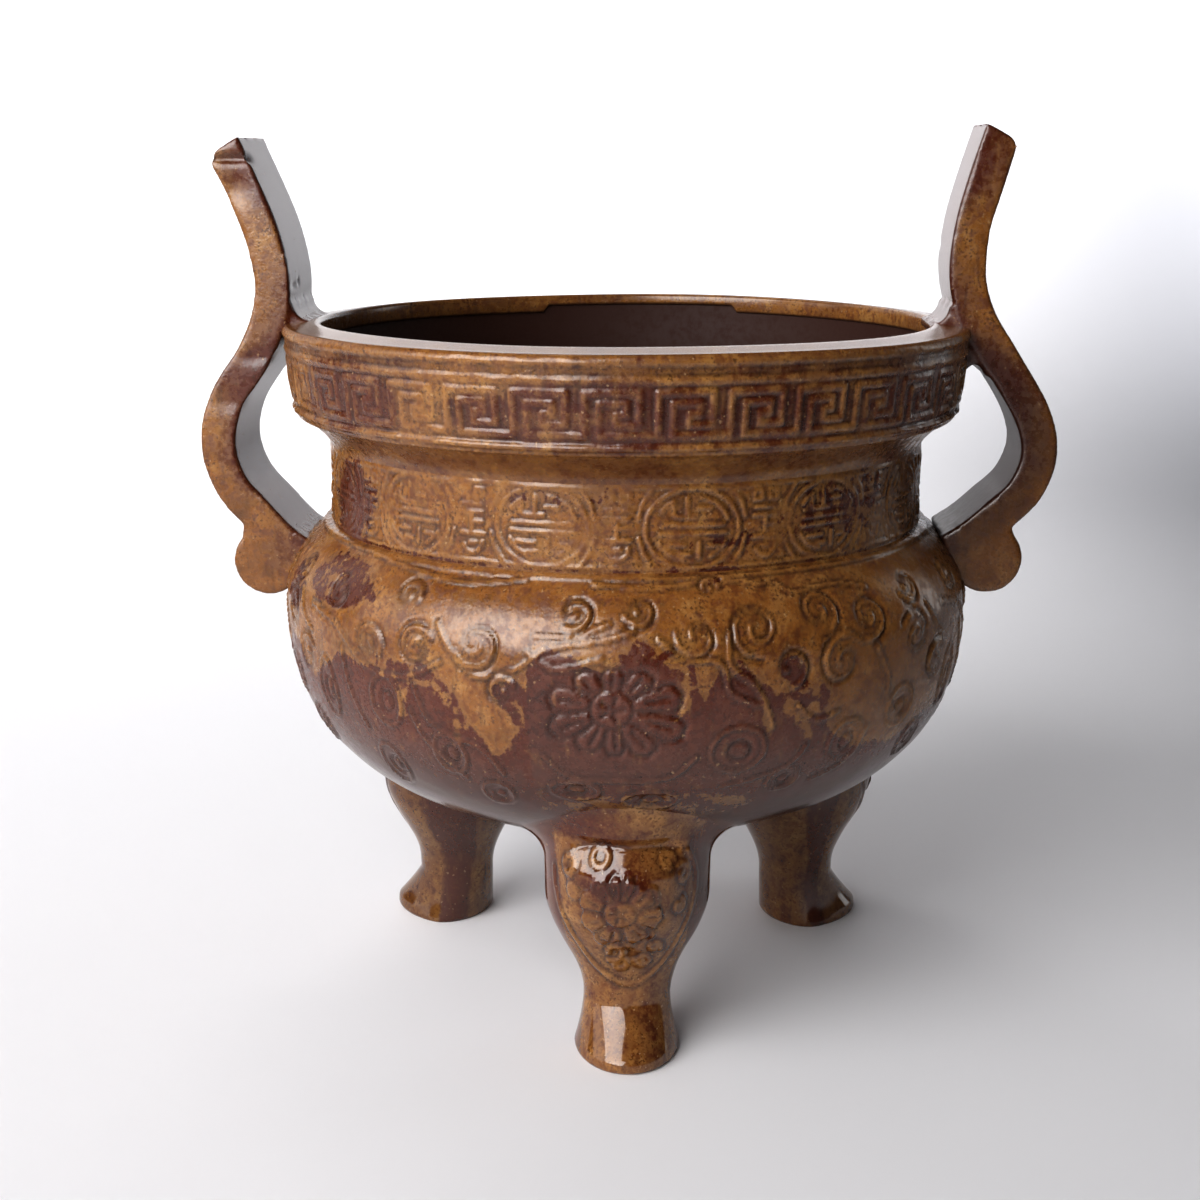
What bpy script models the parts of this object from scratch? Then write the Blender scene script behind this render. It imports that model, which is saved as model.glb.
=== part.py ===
"""Ceramic tripod incense burner, fired as one piece.

A turned bowl with a broad waist under a straight collar rim, two S-shaped
strap handles that rise above the rim, and three cabriole legs. The collar
carries a key fret, the waist a row of medallions and barred panels, the belly
a scrolling vine with blossoms, and each leg a palmette shield.

Lengths are in millimetres until the meshes are made, +Z is up, the origin is
on the floor under the axis of the bowl, and the front leg points along -Y.
"""

import bmesh
import bpy
from math import atan, atan2, cos, hypot, pi, radians, sin, sqrt, tan

from mathutils import Matrix, Vector

MM = 0.001
MERGE = 0.00005

# Bowl: heights build up from the floor, one above the other
FLOOR_CLEARANCE = 53.0
BELLY_DROP = 68.0
BELLY_RISE = 42.0
BELLY_RADIUS = 101.5
BELLY_FULLNESS = 2.6
WAIST_RADIUS = 87.6
WAIST_HEIGHT = 23.0
COVE_HEIGHT = 8.2
COLLAR_HEIGHT = 25.6
COLLAR_TAPER = 3.0
RIM_RADIUS = 100.0
BEAD = 0.8

# Walls, measured through the clay
BELLY_WALL = 7.5
WAIST_WALL = 7.5
COLLAR_WALL = 7.0
LIP_WIDTH = 10.8
LIP_DEPTH = 4.8
LIP_SLOPE = 1.0
LIP_ROUND = 1.0

# Handles: a strap of one thickness, drawn by its centre line
HANDLE_THICKNESS = 10.3
HANDLE_WIDTH = 31.0
HANDLE_RISE = 52.5
HANDLE_FLARE = 10.6
HANDLE_REACH = 20.0
HANDLE_TURN = 4.0
HANDLE_LEAN = 4.6
HANDLE_UNEVEN = 2.0
HANDLE_OVERLAP = 0.4
KNOB_RADIUS = 10.2
KNOB_REACH = 5.0
RIM_FILLET = 5.0

# Legs: cabriole, with a full knee, a narrow ankle and a flared foot
LEG_COUNT = 3
LEG_CIRCLE = 64.5
KNEE_WIDTH = 46.2
KNEE_REACH = 23.6
ANKLE_WIDTH = 24.6
ANKLE_REACH = 11.2
FOOT_WIDTH = 30.6
FOOT_REACH = 21.4
TOE_BEVEL = 1.4
LEG_FILLET = 10.0
LEG_STRAY = 3.5

# Carving: how far it stands above the ground and how wide its ridges are. A phase is
# the step of a pattern that stands at the front.
FRET_COUNT = 34
FRET_PHASE = 0.6
FRET_HEIGHT = 13.4
FRET_RELIEF = 1.0
FRET_RIDGE = 1.9
MEDALLION_COUNT = 17
MEDALLION_PHASE = 0.63
MEDALLION_RADIUS = 9.8
WAIST_RELIEF = 0.9
WAIST_RIDGE = 1.9
VINE_RELIEF = 1.3
VINE_RIDGE = 2.4
BLOSSOM_RADIUS = 14.0
BLOSSOM_PETALS = 5
CURL_RADIUS = 7.4
SHIELD_RELIEF = 1.1
SHIELD_RIDGE = 2.5

# Facets: sides round the bowl, the cavity, a leg and a small ring. The carving is rooted
# below the deepest facet of the bowl by a clearance.
BOWL_SIDES = 34
LEG_SIDES = 16
RING_SIDES = 8
ROOT_CLEARANCE = 1.1
ROOT = ROOT_CLEARANCE + BELLY_RADIUS * (1 - cos(pi / BOWL_SIDES))

# Curls of the vine about a blossom: place in curl radii, first angle and sweep in degrees
CURLS = (
    (-6.0, 2.3, 200, 330),
    (4.9, 3.0, -20, -330),
    (10.2, 2.8, -20, -330),
    (-11.4, -2.6, 20, 330),
)

BELLY_MIDDLE = FLOOR_CLEARANCE + BELLY_DROP
SHOULDER = BELLY_MIDDLE + BELLY_RISE * sqrt(1 - (WAIST_RADIUS / BELLY_RADIUS) ** 2)
WAIST_TOP = SHOULDER + WAIST_HEIGHT
COLLAR_FOOT = WAIST_TOP + COVE_HEIGHT
RIM_TOP = COLLAR_FOOT + COLLAR_HEIGHT

GLAZE_BROWN = (0.22, 0.105, 0.045, 1.0)


def collection(name):
    """Return a new collection that is linked to the scene."""
    made = bpy.data.collections.new(name)
    bpy.context.scene.collection.children.link(made)
    return made


def mesh_object(name, bm, home):
    """Turn a bmesh in millimetres into an object in metres."""
    bmesh.ops.scale(bm, vec=(MM, MM, MM), verts=bm.verts)
    mesh = bpy.data.meshes.new(name)
    bm.to_mesh(mesh)
    bm.free()
    made = bpy.data.objects.new(name, mesh)
    home.objects.link(made)
    return made


def as_helper(helper):
    """Show a joined or cutting shape as wire only."""
    helper.hide_render = True
    helper.display_type = "WIRE"
    return helper


def boolean(body, other, operation):
    """Add an exact Boolean of another object to the body."""
    step = body.modifiers.new(other.name, "BOOLEAN")
    step.object = other
    step.operation = operation
    step.solver = "EXACT"


def turned(name, profile, sides, home):
    """Turn a profile, given from top to bottom as (radius, height), into a solid."""
    bm = bmesh.new()
    verts = [bm.verts.new((radius, 0.0, height)) for radius, height in profile]
    for upper, lower in zip(verts, verts[1:]):
        bm.edges.new((upper, lower))
    made = mesh_object(name, bm, home)
    screw = made.modifiers.new("turning", "SCREW")
    screw.axis = "Z"
    screw.angle = 2 * pi
    screw.steps = sides
    screw.render_steps = sides
    screw.use_merge_vertices = True
    screw.merge_threshold = MERGE
    screw.use_smooth_shade = True
    return made


def belly_curve(drop, rise, radius, height):
    """Radius of the belly at a height above or below its middle."""
    if height >= 0:
        return radius * sqrt(max(0.0, 1 - (height / rise) ** 2))
    share = min(1.0, -height / drop)
    return radius * (1 - share ** BELLY_FULLNESS) ** (1 / BELLY_FULLNESS)


def collar_radius(height):
    """Radius of the collar's ground at a height, narrowing towards its foot."""
    share = (RIM_TOP - height) / COLLAR_HEIGHT
    return RIM_RADIUS - COLLAR_TAPER * share ** 1.5


def outer_radius(height):
    """Radius of the bowl's outer ground at a height."""
    if height >= COLLAR_FOOT:
        return collar_radius(height)
    if height >= WAIST_TOP:
        share = (height - WAIST_TOP) / COVE_HEIGHT
        return WAIST_RADIUS + (collar_radius(COLLAR_FOOT) - WAIST_RADIUS) * share ** 1.4
    if height >= SHOULDER:
        return WAIST_RADIUS
    return belly_curve(BELLY_DROP, BELLY_RISE, BELLY_RADIUS, height - BELLY_MIDDLE)


def outer_profile():
    """Outer profile of the bowl as a solid, from the axis over the rim to the axis below."""
    inner_lip = RIM_RADIUS - LIP_WIDTH
    points = [
        (0.0, RIM_TOP + LIP_SLOPE),
        (inner_lip, RIM_TOP + LIP_SLOPE),
        (RIM_RADIUS - LIP_ROUND, RIM_TOP),
        (RIM_RADIUS, RIM_TOP - LIP_ROUND),
    ]
    height = RIM_TOP - COLLAR_HEIGHT * 0.28
    points.append((collar_radius(height), height))
    bead_top = COLLAR_FOOT + 3 * BEAD
    points.append((collar_radius(bead_top), bead_top + BEAD))
    points.append((collar_radius(bead_top) + BEAD, bead_top))
    points.append((collar_radius(COLLAR_FOOT), COLLAR_FOOT + BEAD))
    points.append((collar_radius(COLLAR_FOOT) - 2 * BEAD, COLLAR_FOOT))
    for share in (0.62, 0.3, 0.0):
        height = WAIST_TOP + COVE_HEIGHT * share
        points.append((outer_radius(height), height))
    points.append((WAIST_RADIUS, SHOULDER + BEAD))
    points.append((outer_radius(SHOULDER - BEAD), SHOULDER - BEAD))
    for share in (0.72, 0.4, 0.0):
        height = BELLY_MIDDLE + (SHOULDER - BELLY_MIDDLE) * share
        points.append((outer_radius(height), height))
    for turn in (8, 16, 26, 37, 48, 58, 67, 76):
        share = sin(radians(turn)) ** (2 / BELLY_FULLNESS)
        height = BELLY_MIDDLE - BELLY_DROP * share
        points.append((outer_radius(height), height))
    points.append((0.0, FLOOR_CLEARANCE))
    return points


def cavity_profile():
    """Profile of the hollow: mouth, ledge under the lip, collar, waist and belly."""
    mouth = RIM_RADIUS - LIP_WIDTH
    ledge = RIM_TOP - LIP_DEPTH
    collar = RIM_RADIUS - COLLAR_TAPER - COLLAR_WALL
    waist = WAIST_RADIUS - WAIST_WALL
    above = RIM_TOP + 2 * LIP_DEPTH
    points = [
        (0.0, above),
        (mouth, above),
        (mouth, ledge),
        (max(mouth, collar), ledge - LIP_SLOPE),
        (max(waist, collar), COLLAR_FOOT + COVE_HEIGHT * 0.3),
        (waist, WAIST_TOP),
    ]
    radius = BELLY_RADIUS - BELLY_WALL
    drop = BELLY_DROP - BELLY_WALL
    rise = BELLY_RISE - BELLY_WALL * 0.5
    neck = BELLY_MIDDLE + rise * sqrt(max(0.0, 1 - (waist / radius) ** 2))
    points.append((waist, min(neck, WAIST_TOP - BEAD)))
    for share in (0.6, 0.0):
        height = (neck - BELLY_MIDDLE) * share
        points.append((belly_curve(drop, rise, radius, height), BELLY_MIDDLE + height))
    for turn in (24, 42, 57, 70, 81):
        share = sin(radians(turn)) ** (2 / BELLY_FULLNESS)
        points.append((belly_curve(drop, rise, radius, -drop * share), BELLY_MIDDLE - drop * share))
    points.append((0.0, BELLY_MIDDLE - drop))
    return points


def smooth_line(knots, steps):
    """Points on a smooth curve through the knots (Catmull-Rom)."""
    first = (2 * knots[0][0] - knots[1][0], 2 * knots[0][1] - knots[1][1])
    last = (2 * knots[-1][0] - knots[-2][0], 2 * knots[-1][1] - knots[-2][1])
    ring = [first] + list(knots) + [last]
    line = []
    for index in range(1, len(ring) - 2):
        p0, p1, p2, p3 = ring[index - 1:index + 3]
        for step in range(steps):
            t = step / steps
            line.append(tuple(
                0.5 * (2 * b + (c - a) * t + (2 * a - 5 * b + 4 * c - d) * t * t
                       + (3 * b - a - 3 * c + d) * t ** 3)
                for a, b, c, d in zip(p0, p1, p2, p3)))
    line.append(knots[-1])
    return line


def knob_centre(lift):
    """Centre of the round knob under a handle, on the shoulder of the belly."""
    return BELLY_RADIUS + KNOB_REACH, SHOULDER - KNOB_RADIUS * 1.2 + lift


def handle_line(lean, lift):
    """Centre line of a handle from its top end down to its heel, as (reach, height)."""
    throat = RIM_RADIUS - HANDLE_OVERLAP
    loop = RIM_RADIUS + HANDLE_REACH
    rise = HANDLE_RISE + lift
    knob, heel = knob_centre(lift)
    span = WAIST_TOP - heel
    knots = [
        (throat + HANDLE_FLARE + lean, RIM_TOP + rise),
        (throat + HANDLE_FLARE * 0.56 + lean * 0.85, RIM_TOP + rise * 0.76),
        (throat + HANDLE_FLARE * 0.17 + lean * 0.68, RIM_TOP + rise * 0.51),
        (throat + lean * 0.5, RIM_TOP + rise * 0.26),
        (throat + HANDLE_REACH * 0.11 + lean * 0.25, RIM_TOP + LIP_DEPTH * 0.5),
        (throat + HANDLE_REACH * 0.42, RIM_TOP - COLLAR_HEIGHT * 0.37),
        (loop - HANDLE_REACH * 0.14, heel + span * 1.28),
        (loop, heel + span * 0.93),
        (loop - HANDLE_REACH * 0.17, heel + span * 0.61),
        (knob + KNOB_RADIUS * 0.31, heel + span * 0.39),
        (knob - KNOB_RADIUS * 0.41, heel + KNOB_RADIUS * 0.63),
        (knob - KNOB_RADIUS * 1.03, heel + KNOB_RADIUS * 0.2),
    ]
    return smooth_line(knots, 2)


def handle_outline(lean, lift):
    """Closed outline of a handle with its knob, in its own plane."""
    half = HANDLE_THICKNESS / 2
    line = handle_line(lean, lift)
    knob = knob_centre(lift)
    outer = []
    inner = []
    for index, point in enumerate(line):
        before = line[max(0, index - 1)]
        after = line[min(len(line) - 1, index + 1)]
        along = (after[0] - before[0], after[1] - before[1])
        length = hypot(*along)
        side = (-along[1] / length * half, along[0] / length * half)
        outer.append((point[0] + side[0], point[1] + side[1]))
        inner.append((point[0] - side[0], point[1] - side[1]))
    outer[0] = (outer[0][0], outer[0][1] - HANDLE_THICKNESS * 0.15)
    strap = [point for point in outer if hypot(point[0] - knob[0], point[1] - knob[1]) > KNOB_RADIUS + 1.0]
    start = atan2(strap[-1][1] - knob[1], strap[-1][0] - knob[0]) - radians(14)
    stop = radians(-128)
    arc = [(knob[0] + KNOB_RADIUS * cos(start + (stop - start) * step / 7),
            knob[1] + KNOB_RADIUS * sin(start + (stop - start) * step / 7))
           for step in range(8)]
    root = [(BELLY_RADIUS - BELLY_WALL * 0.6, arc[-1][1])]
    return strap + arc + root + inner[::-1]


def rim_web(lean):
    """Outline of the hollow-cut web that ties the inside of a handle to the lip."""
    wall = RIM_RADIUS - HANDLE_OVERLAP - HANDLE_THICKNESS / 2 + lean * 0.4
    base = RIM_TOP - LIP_DEPTH * 0.5
    crown = RIM_TOP + LIP_SLOPE * 0.5
    points = [(wall + HANDLE_THICKNESS * 0.4, base), (wall + HANDLE_THICKNESS * 0.4, crown + RIM_FILLET)]
    for step in range(5):
        turn = pi / 2 * step / 4
        points.append((wall - RIM_FILLET * (1 - cos(turn)), crown + RIM_FILLET * (1 - sin(turn))))
    points.append((wall - RIM_FILLET, base))
    return points


def plate(name, outline, thickness, home):
    """Extrude a closed outline in the XZ plane to a plate centred on y = 0."""
    curve = bpy.data.curves.new(name, "CURVE")
    curve.dimensions = "2D"
    curve.fill_mode = "BOTH"
    curve.extrude = thickness / 2 * MM
    spline = curve.splines.new("POLY")
    spline.points.add(len(outline) - 1)
    for point, (across, up) in zip(spline.points, outline):
        point.co = (across * MM, up * MM, 0.0, 1.0)
    spline.use_cyclic_u = True
    drawn = bpy.data.objects.new(name, curve)
    home.objects.link(drawn)
    drawn.rotation_euler = (pi / 2, 0.0, 0.0)
    bpy.context.view_layer.update()
    depsgraph = bpy.context.evaluated_depsgraph_get()
    mesh = bpy.data.meshes.new_from_object(drawn.evaluated_get(depsgraph))
    mesh.transform(drawn.matrix_world)
    bm = bmesh.new()
    bm.from_mesh(mesh)
    bmesh.ops.remove_doubles(bm, verts=bm.verts, dist=MERGE)
    bmesh.ops.recalc_face_normals(bm, faces=bm.faces)
    bm.to_mesh(mesh)
    bm.free()
    bpy.data.objects.remove(drawn)
    made = bpy.data.objects.new(name, mesh)
    home.objects.link(made)
    return made


def handle_shapes(name, side, home):
    """One strap handle and its web: side is 1 on the right and -1 on the left."""
    lean = -side * HANDLE_LEAN
    strap = plate(name, handle_outline(lean, side * HANDLE_UNEVEN), HANDLE_WIDTH, home)
    web = plate(name + "_web", rim_web(lean), HANDLE_WIDTH - 2 * BEAD, home)
    for shape in (strap, web):
        shape.rotation_euler.z = radians(-HANDLE_TURN) + (0.0 if side > 0 else pi)
    return [as_helper(strap), as_helper(web)]


def belly_bottom(radius):
    """Height of the belly's underside at a radius."""
    share = min(1.0, radius / BELLY_RADIUS)
    return BELLY_MIDDLE - BELLY_DROP * (1 - share ** BELLY_FULLNESS) ** (1 / BELLY_FULLNESS)


def rise_between(height, low, high):
    """Share from 0 to 1 that grows smoothly between two heights."""
    return sin(pi / 2 * min(1.0, max(0.0, (height - low) / (high - low)))) ** 2


def leg_section(height):
    """Outer reach, inner reach and half width of a leg's section at a height."""
    ankle = FLOOR_CLEARANCE * 0.3
    toe = 1 - 0.05 * max(0.0, 1 - height / TOE_BEVEL)
    foot = max(0.0, 1 - height / ankle) ** 1.7
    neck = ANKLE_WIDTH / 2
    side = neck + (FOOT_WIDTH / 2 - neck) * foot
    side += (KNEE_WIDTH / 2 - neck) * rise_between(height, ankle, FLOOR_CLEARANCE * 0.9)
    outer = ANKLE_REACH + (FOOT_REACH - ANKLE_REACH) * (1 - rise_between(height, ankle * 0.34, ankle * 0.98))
    outer += (KNEE_REACH - ANKLE_REACH) * rise_between(height, ankle * 1.25, FLOOR_CLEARANCE)
    inner = side if height > ankle else neck * (1 - 0.14 * foot)
    return outer * toe, inner * toe, side * toe


def leg_point(height, turn):
    """Point of a leg that stands at azimuth zero; turn is measured from the outside.

    Near the belly the section opens out along an arc that meets it smoothly.
    """
    outer, inner, side = leg_section(height)
    reach = outer if cos(turn) > 0 else inner
    wall = Vector((LEG_CIRCLE + reach * cos(turn), side * sin(turn)))
    aside = Vector((cos(turn) / reach, sin(turn) / side)).normalized()
    climb = (belly_bottom(wall.length + 0.5) - belly_bottom(wall.length - 0.5)) * aside.dot(wall.normalized())
    bend = pi / 2 - atan(climb)
    start = belly_bottom(wall.length) - LEG_FILLET * tan(bend / 2)
    run = min(max(0.0, height - start), LEG_FILLET * sin(min(bend, radians(68))))
    wall += aside * (LEG_FILLET - sqrt(LEG_FILLET ** 2 - run ** 2))
    return Vector((wall.x, wall.y, height))


def leg(name, azimuth, home):
    """One leg, lofted through its sections from the foot up into the belly."""
    under = belly_bottom(LEG_CIRCLE)
    top = belly_bottom(LEG_CIRCLE + KNEE_REACH) + LEG_FILLET * 0.5
    heights = [0.0, TOE_BEVEL]
    heights += [under * share for share in (0.1, 0.17, 0.24, 0.34, 0.45, 0.56, 0.67, 0.78, 0.87, 0.94, 1.0)]
    heights += [under + (top - under) * share for share in (0.2, 0.45, 0.72, 1.0)]
    bm = bmesh.new()
    rings = []
    for height in heights:
        ring = [bm.verts.new(leg_point(height, 2 * pi * step / LEG_SIDES)) for step in range(LEG_SIDES)]
        rings.append(ring)
    for lower, upper in zip(rings, rings[1:]):
        for step in range(LEG_SIDES):
            after = (step + 1) % LEG_SIDES
            bm.faces.new((lower[step], lower[after], upper[after], upper[step]))
    bm.faces.new(rings[0][::-1])
    bm.faces.new(rings[-1])
    bmesh.ops.recalc_face_normals(bm, faces=bm.faces)
    made = mesh_object(name, bm, home)
    made.rotation_euler.z = azimuth
    return as_helper(made)


def ridge(bm, path, width, relief, place, closed=False):
    """Raise a roof-shaped ridge along a flat path, wrapped onto a surface by place."""
    count = len(path)
    sections = []
    for index, (x, y) in enumerate(path):
        before = path[index - 1] if index or closed else path[0]
        after = path[(index + 1) % count] if index < count - 1 or closed else path[-1]
        into = Vector((x - before[0], y - before[1]))
        out = Vector((after[0] - x, after[1] - y))
        into = into.normalized() if into.length else out.normalized()
        out = out.normalized() if out.length else into
        along = (into + out).normalized()
        mitre = 1 / max(0.4, along.dot(out))
        aside = Vector((-along.y, along.x)) * (width / 2 * mitre)
        sections.append([
            bm.verts.new(place(x, y, relief)),
            bm.verts.new(place(x + aside.x, y + aside.y, -ROOT)),
            bm.verts.new(place(x - aside.x, y - aside.y, -ROOT)),
        ])
    pairs = list(zip(sections, sections[1:]))
    if closed:
        pairs.append((sections[-1], sections[0]))
    for here, there in pairs:
        for corner in range(3):
            following = (corner + 1) % 3
            bm.faces.new((here[corner], here[following], there[following], there[corner]))
    if not closed:
        bm.faces.new(sections[0][::-1])
        bm.faces.new(sections[-1])


def stud(bm, radius, sides, relief, place):
    """Raise a small stud, pointed in the middle, at the centre of a place."""
    foot = [bm.verts.new(place(x, y, -ROOT)) for x, y in ring_path(radius, sides)]
    tip = bm.verts.new(place(0.0, 0.0, relief))
    for step, here in enumerate(foot):
        bm.faces.new((here, foot[(step + 1) % sides], tip))
    bm.faces.new(foot[::-1])


def on_bowl(azimuth, middle):
    """Return a function that wraps flat (x, y, lift) onto the bowl round a centre."""
    def place(x, y, lift):
        height = middle + y
        radius = outer_radius(height)
        slope = (outer_radius(height + 0.5) - outer_radius(height - 0.5))
        steep = hypot(1.0, slope)
        turn = azimuth + x / outer_radius(middle)
        reach = radius + lift / steep
        return Vector((reach * cos(turn), reach * sin(turn), height - lift * slope / steep))
    return place


def on_leg(azimuth):
    """Return a function that wraps flat (x, y, lift) onto the outside of a leg."""
    turning = Matrix.Rotation(azimuth, 3, "Z")

    def ground(x, height):
        side = leg_point(height, pi / 2).y
        share = max(-0.97, min(0.97, x / side))
        outer = leg_section(height)[0]
        return Vector((LEG_CIRCLE + outer * sqrt(1 - share * share), share * side, height))

    def place(x, y, lift):
        here = ground(x, y)
        across = ground(x + 0.5, y) - ground(x - 0.5, y)
        up = ground(x, y + 0.5) - ground(x, y - 0.5)
        return turning @ (here + across.cross(up).normalized() * lift)
    return place


def ring_path(radius, sides):
    """Closed round path of a number of sides."""
    turns = [2 * pi * step / sides for step in range(sides)]
    return [(radius * cos(turn), radius * sin(turn)) for turn in turns]


def blossom(bm, place):
    """Open blossom: a lobed edge, flat across the tip of each petal, and a stud."""
    edge = []
    for petal in range(BLOSSOM_PETALS):
        for share, reach in ((-0.22, 1.0), (0.22, 1.0), (0.5, 0.66)):
            turn = 2 * pi * (petal + share) / BLOSSOM_PETALS + pi / 2
            edge.append((BLOSSOM_RADIUS * reach * cos(turn), BLOSSOM_RADIUS * reach * sin(turn)))
    ridge(bm, edge, VINE_RIDGE, VINE_RELIEF, place, closed=True)
    stud(bm, BLOSSOM_RADIUS * 0.36, BLOSSOM_PETALS, VINE_RELIEF, place)


def curl_path(centre, start, sweep):
    """Path of a curl of the vine, with its stem; start and sweep are in degrees."""
    path = []
    for share in (0.0, 0.2, 0.4, 0.6, 0.8, 1.0):
        reach = CURL_RADIUS * (1 - 0.62 * share)
        turn = radians(start + sweep * share)
        path.append((centre[0] + reach * cos(turn), centre[1] + reach * sin(turn)))
    along = radians(start) - (pi / 2 if sweep > 0 else -pi / 2)
    stem = (path[0][0] + CURL_RADIUS * 1.5 * cos(along), path[0][1] + CURL_RADIUS * 1.5 * sin(along))
    return [stem] + path


def fret(home):
    """Key fret round the collar: one squared spiral for each step of the pattern."""
    bm = bmesh.new()
    pitch = 2 * pi / FRET_COUNT
    middle = COLLAR_FOOT + COLLAR_HEIGHT * 0.44
    wide = pitch * outer_radius(middle)
    cell = [(0.42, 0.34), (0.76, 0.34), (0.76, 1.0), (0.0, 1.0), (0.0, 0.0), (-0.8, 0.0), (-0.8, 0.72)]
    for index in range(FRET_COUNT):
        place = on_bowl((index - FRET_PHASE) * pitch - pi / 2, middle)
        path = [(x * wide, (y - 0.5) * FRET_HEIGHT) for x, y in cell]
        ridge(bm, path, FRET_RIDGE, FRET_RELIEF, place)
    bmesh.ops.recalc_face_normals(bm, faces=bm.faces)
    return as_helper(mesh_object("fret_ridges", bm, home))


def waist_band(home):
    """Round medallions with a lozenge, and an upright stroke in each space between them."""
    bm = bmesh.new()
    pitch = 2 * pi / MEDALLION_COUNT
    middle = (WAIST_TOP + SHOULDER) / 2
    stroke = MEDALLION_RADIUS * 0.7
    for index in range(MEDALLION_COUNT):
        azimuth = -pi / 2 + (index - MEDALLION_PHASE) * pitch
        place = on_bowl(azimuth, middle)
        ridge(bm, ring_path(MEDALLION_RADIUS, RING_SIDES), WAIST_RIDGE, WAIST_RELIEF, place, closed=True)
        stud(bm, MEDALLION_RADIUS * 0.42, 4, WAIST_RELIEF, place)
        place = on_bowl(azimuth + pitch / 2, middle)
        ridge(bm, [(0.0, -stroke), (0.0, stroke)], WAIST_RIDGE, WAIST_RELIEF, place)
    bmesh.ops.recalc_face_normals(bm, faces=bm.faces)
    return as_helper(mesh_object("waist_ridges", bm, home))


def belly_vine(home):
    """Blossoms over and between the legs, with curls of the vine on both sides of them."""
    bm = bmesh.new()
    sector = 2 * pi / LEG_COUNT
    middle = BELLY_MIDDLE - BELLY_DROP * 0.18
    for index in range(LEG_COUNT):
        azimuth = -pi / 2 + index * sector
        place = on_bowl(azimuth, middle)
        blossom(bm, place)
        for across, up, start, sweep in CURLS:
            curl = curl_path((across * CURL_RADIUS, up * CURL_RADIUS), start, sweep)
            ridge(bm, curl, VINE_RIDGE, VINE_RELIEF, place)
    bmesh.ops.recalc_face_normals(bm, faces=bm.faces)
    return as_helper(mesh_object("belly_ridges", bm, home))


def leg_shield(name, azimuth, home):
    """Palmette shield on a leg: its pointed border and a round flower."""
    bm = bmesh.new()
    place = on_leg(azimuth)
    top = FLOOR_CLEARANCE * 1.15
    point = FLOOR_CLEARANCE * 0.5
    half = KNEE_WIDTH * 0.36
    border = [(0.0, 1.0), (0.62, 1.03), (1.0, 0.8), (0.92, 0.5), (0.5, 0.18), (0.0, 0.0)]
    border += [(-x, y) for x, y in border[-2:0:-1]]
    shield = [(x * half, point + y * (top - point)) for x, y in border]
    ridge(bm, shield, SHIELD_RIDGE, SHIELD_RELIEF, place, closed=True)
    flower = [(x, point + 0.58 * (top - point) + y) for x, y in ring_path(half * 0.45, 6)]
    ridge(bm, flower, SHIELD_RIDGE, SHIELD_RELIEF, place, closed=True)
    bmesh.ops.recalc_face_normals(bm, faces=bm.faces)
    return as_helper(mesh_object(name, bm, home))


def leg_azimuth(index):
    """Azimuth of a leg; the second one was set a little off its place by hand."""
    stray = radians(LEG_STRAY) if index == 1 else 0.0
    return -pi / 2 + 2 * pi * index / LEG_COUNT - stray


def glaze():
    """Brown iron glaze of the whole burner."""
    made = bpy.data.materials.new("brown_glaze")
    made.use_nodes = True
    shader = made.node_tree.nodes["Principled BSDF"]
    shader.inputs["Base Color"].default_value = GLAZE_BROWN
    shader.inputs["Roughness"].default_value = 0.35
    shader.inputs["Metallic"].default_value = 0.0
    return made


def build():
    """Model the whole burner."""
    for old in list(bpy.data.objects):
        bpy.data.objects.remove(old)
    parts = collection("incense_burner")
    helpers = collection("joined_and_cut_shapes")
    body = turned("incense_burner", outer_profile(), BOWL_SIDES, parts)
    body.data.materials.append(glaze())
    joined = [leg(f"leg_{index + 1}", leg_azimuth(index), helpers) for index in range(LEG_COUNT)]
    joined += handle_shapes("handle_right", 1, helpers)
    joined += handle_shapes("handle_left", -1, helpers)
    joined += [fret(helpers), waist_band(helpers), belly_vine(helpers)]
    joined += [leg_shield(f"shield_{index + 1}", leg_azimuth(index), helpers) for index in range(LEG_COUNT)]
    for shape in joined:
        boolean(body, shape, "UNION")
    boolean(body, as_helper(turned("cavity", cavity_profile(), BOWL_SIDES, helpers)), "DIFFERENCE")


build()
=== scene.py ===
"""Ceramic tripod incense burner, dressed for its picture.

The bowl is thrown in three pieces that meet in creases of the real one: a collar
with its lip, a waist band and a round belly. Three cabriole legs and two strap
handles are luted on. A key fret, a band of rings and barred panels, a scrolling
vine and a flower on each leg are pressed into the clay, and a brown iron glaze
runs down in ochre over maroon.

Sizes are millimetres until a mesh is made. Azimuth is measured from the front
leg (-Y) towards the right handle (+X).
"""

import logging
from dataclasses import dataclass, field
from enum import Enum
from math import atan2, cos, hypot, pi, radians, sin, sqrt
from typing import Any, Optional, Sequence

import bpy
import numpy as np
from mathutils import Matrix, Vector


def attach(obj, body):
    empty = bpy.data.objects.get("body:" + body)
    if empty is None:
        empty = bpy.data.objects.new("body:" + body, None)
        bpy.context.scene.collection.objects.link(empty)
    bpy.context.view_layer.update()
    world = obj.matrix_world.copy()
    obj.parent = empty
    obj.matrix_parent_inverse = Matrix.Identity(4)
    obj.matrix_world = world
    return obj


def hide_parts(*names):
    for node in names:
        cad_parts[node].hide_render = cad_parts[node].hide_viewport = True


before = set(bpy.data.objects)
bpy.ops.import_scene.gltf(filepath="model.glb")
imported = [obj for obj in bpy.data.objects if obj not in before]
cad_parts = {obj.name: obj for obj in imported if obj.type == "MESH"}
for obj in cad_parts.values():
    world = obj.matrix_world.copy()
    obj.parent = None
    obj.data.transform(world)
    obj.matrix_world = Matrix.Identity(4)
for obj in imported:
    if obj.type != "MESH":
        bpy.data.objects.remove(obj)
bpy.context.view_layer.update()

MM = 0.001
NODE = "incense_burner"

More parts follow.
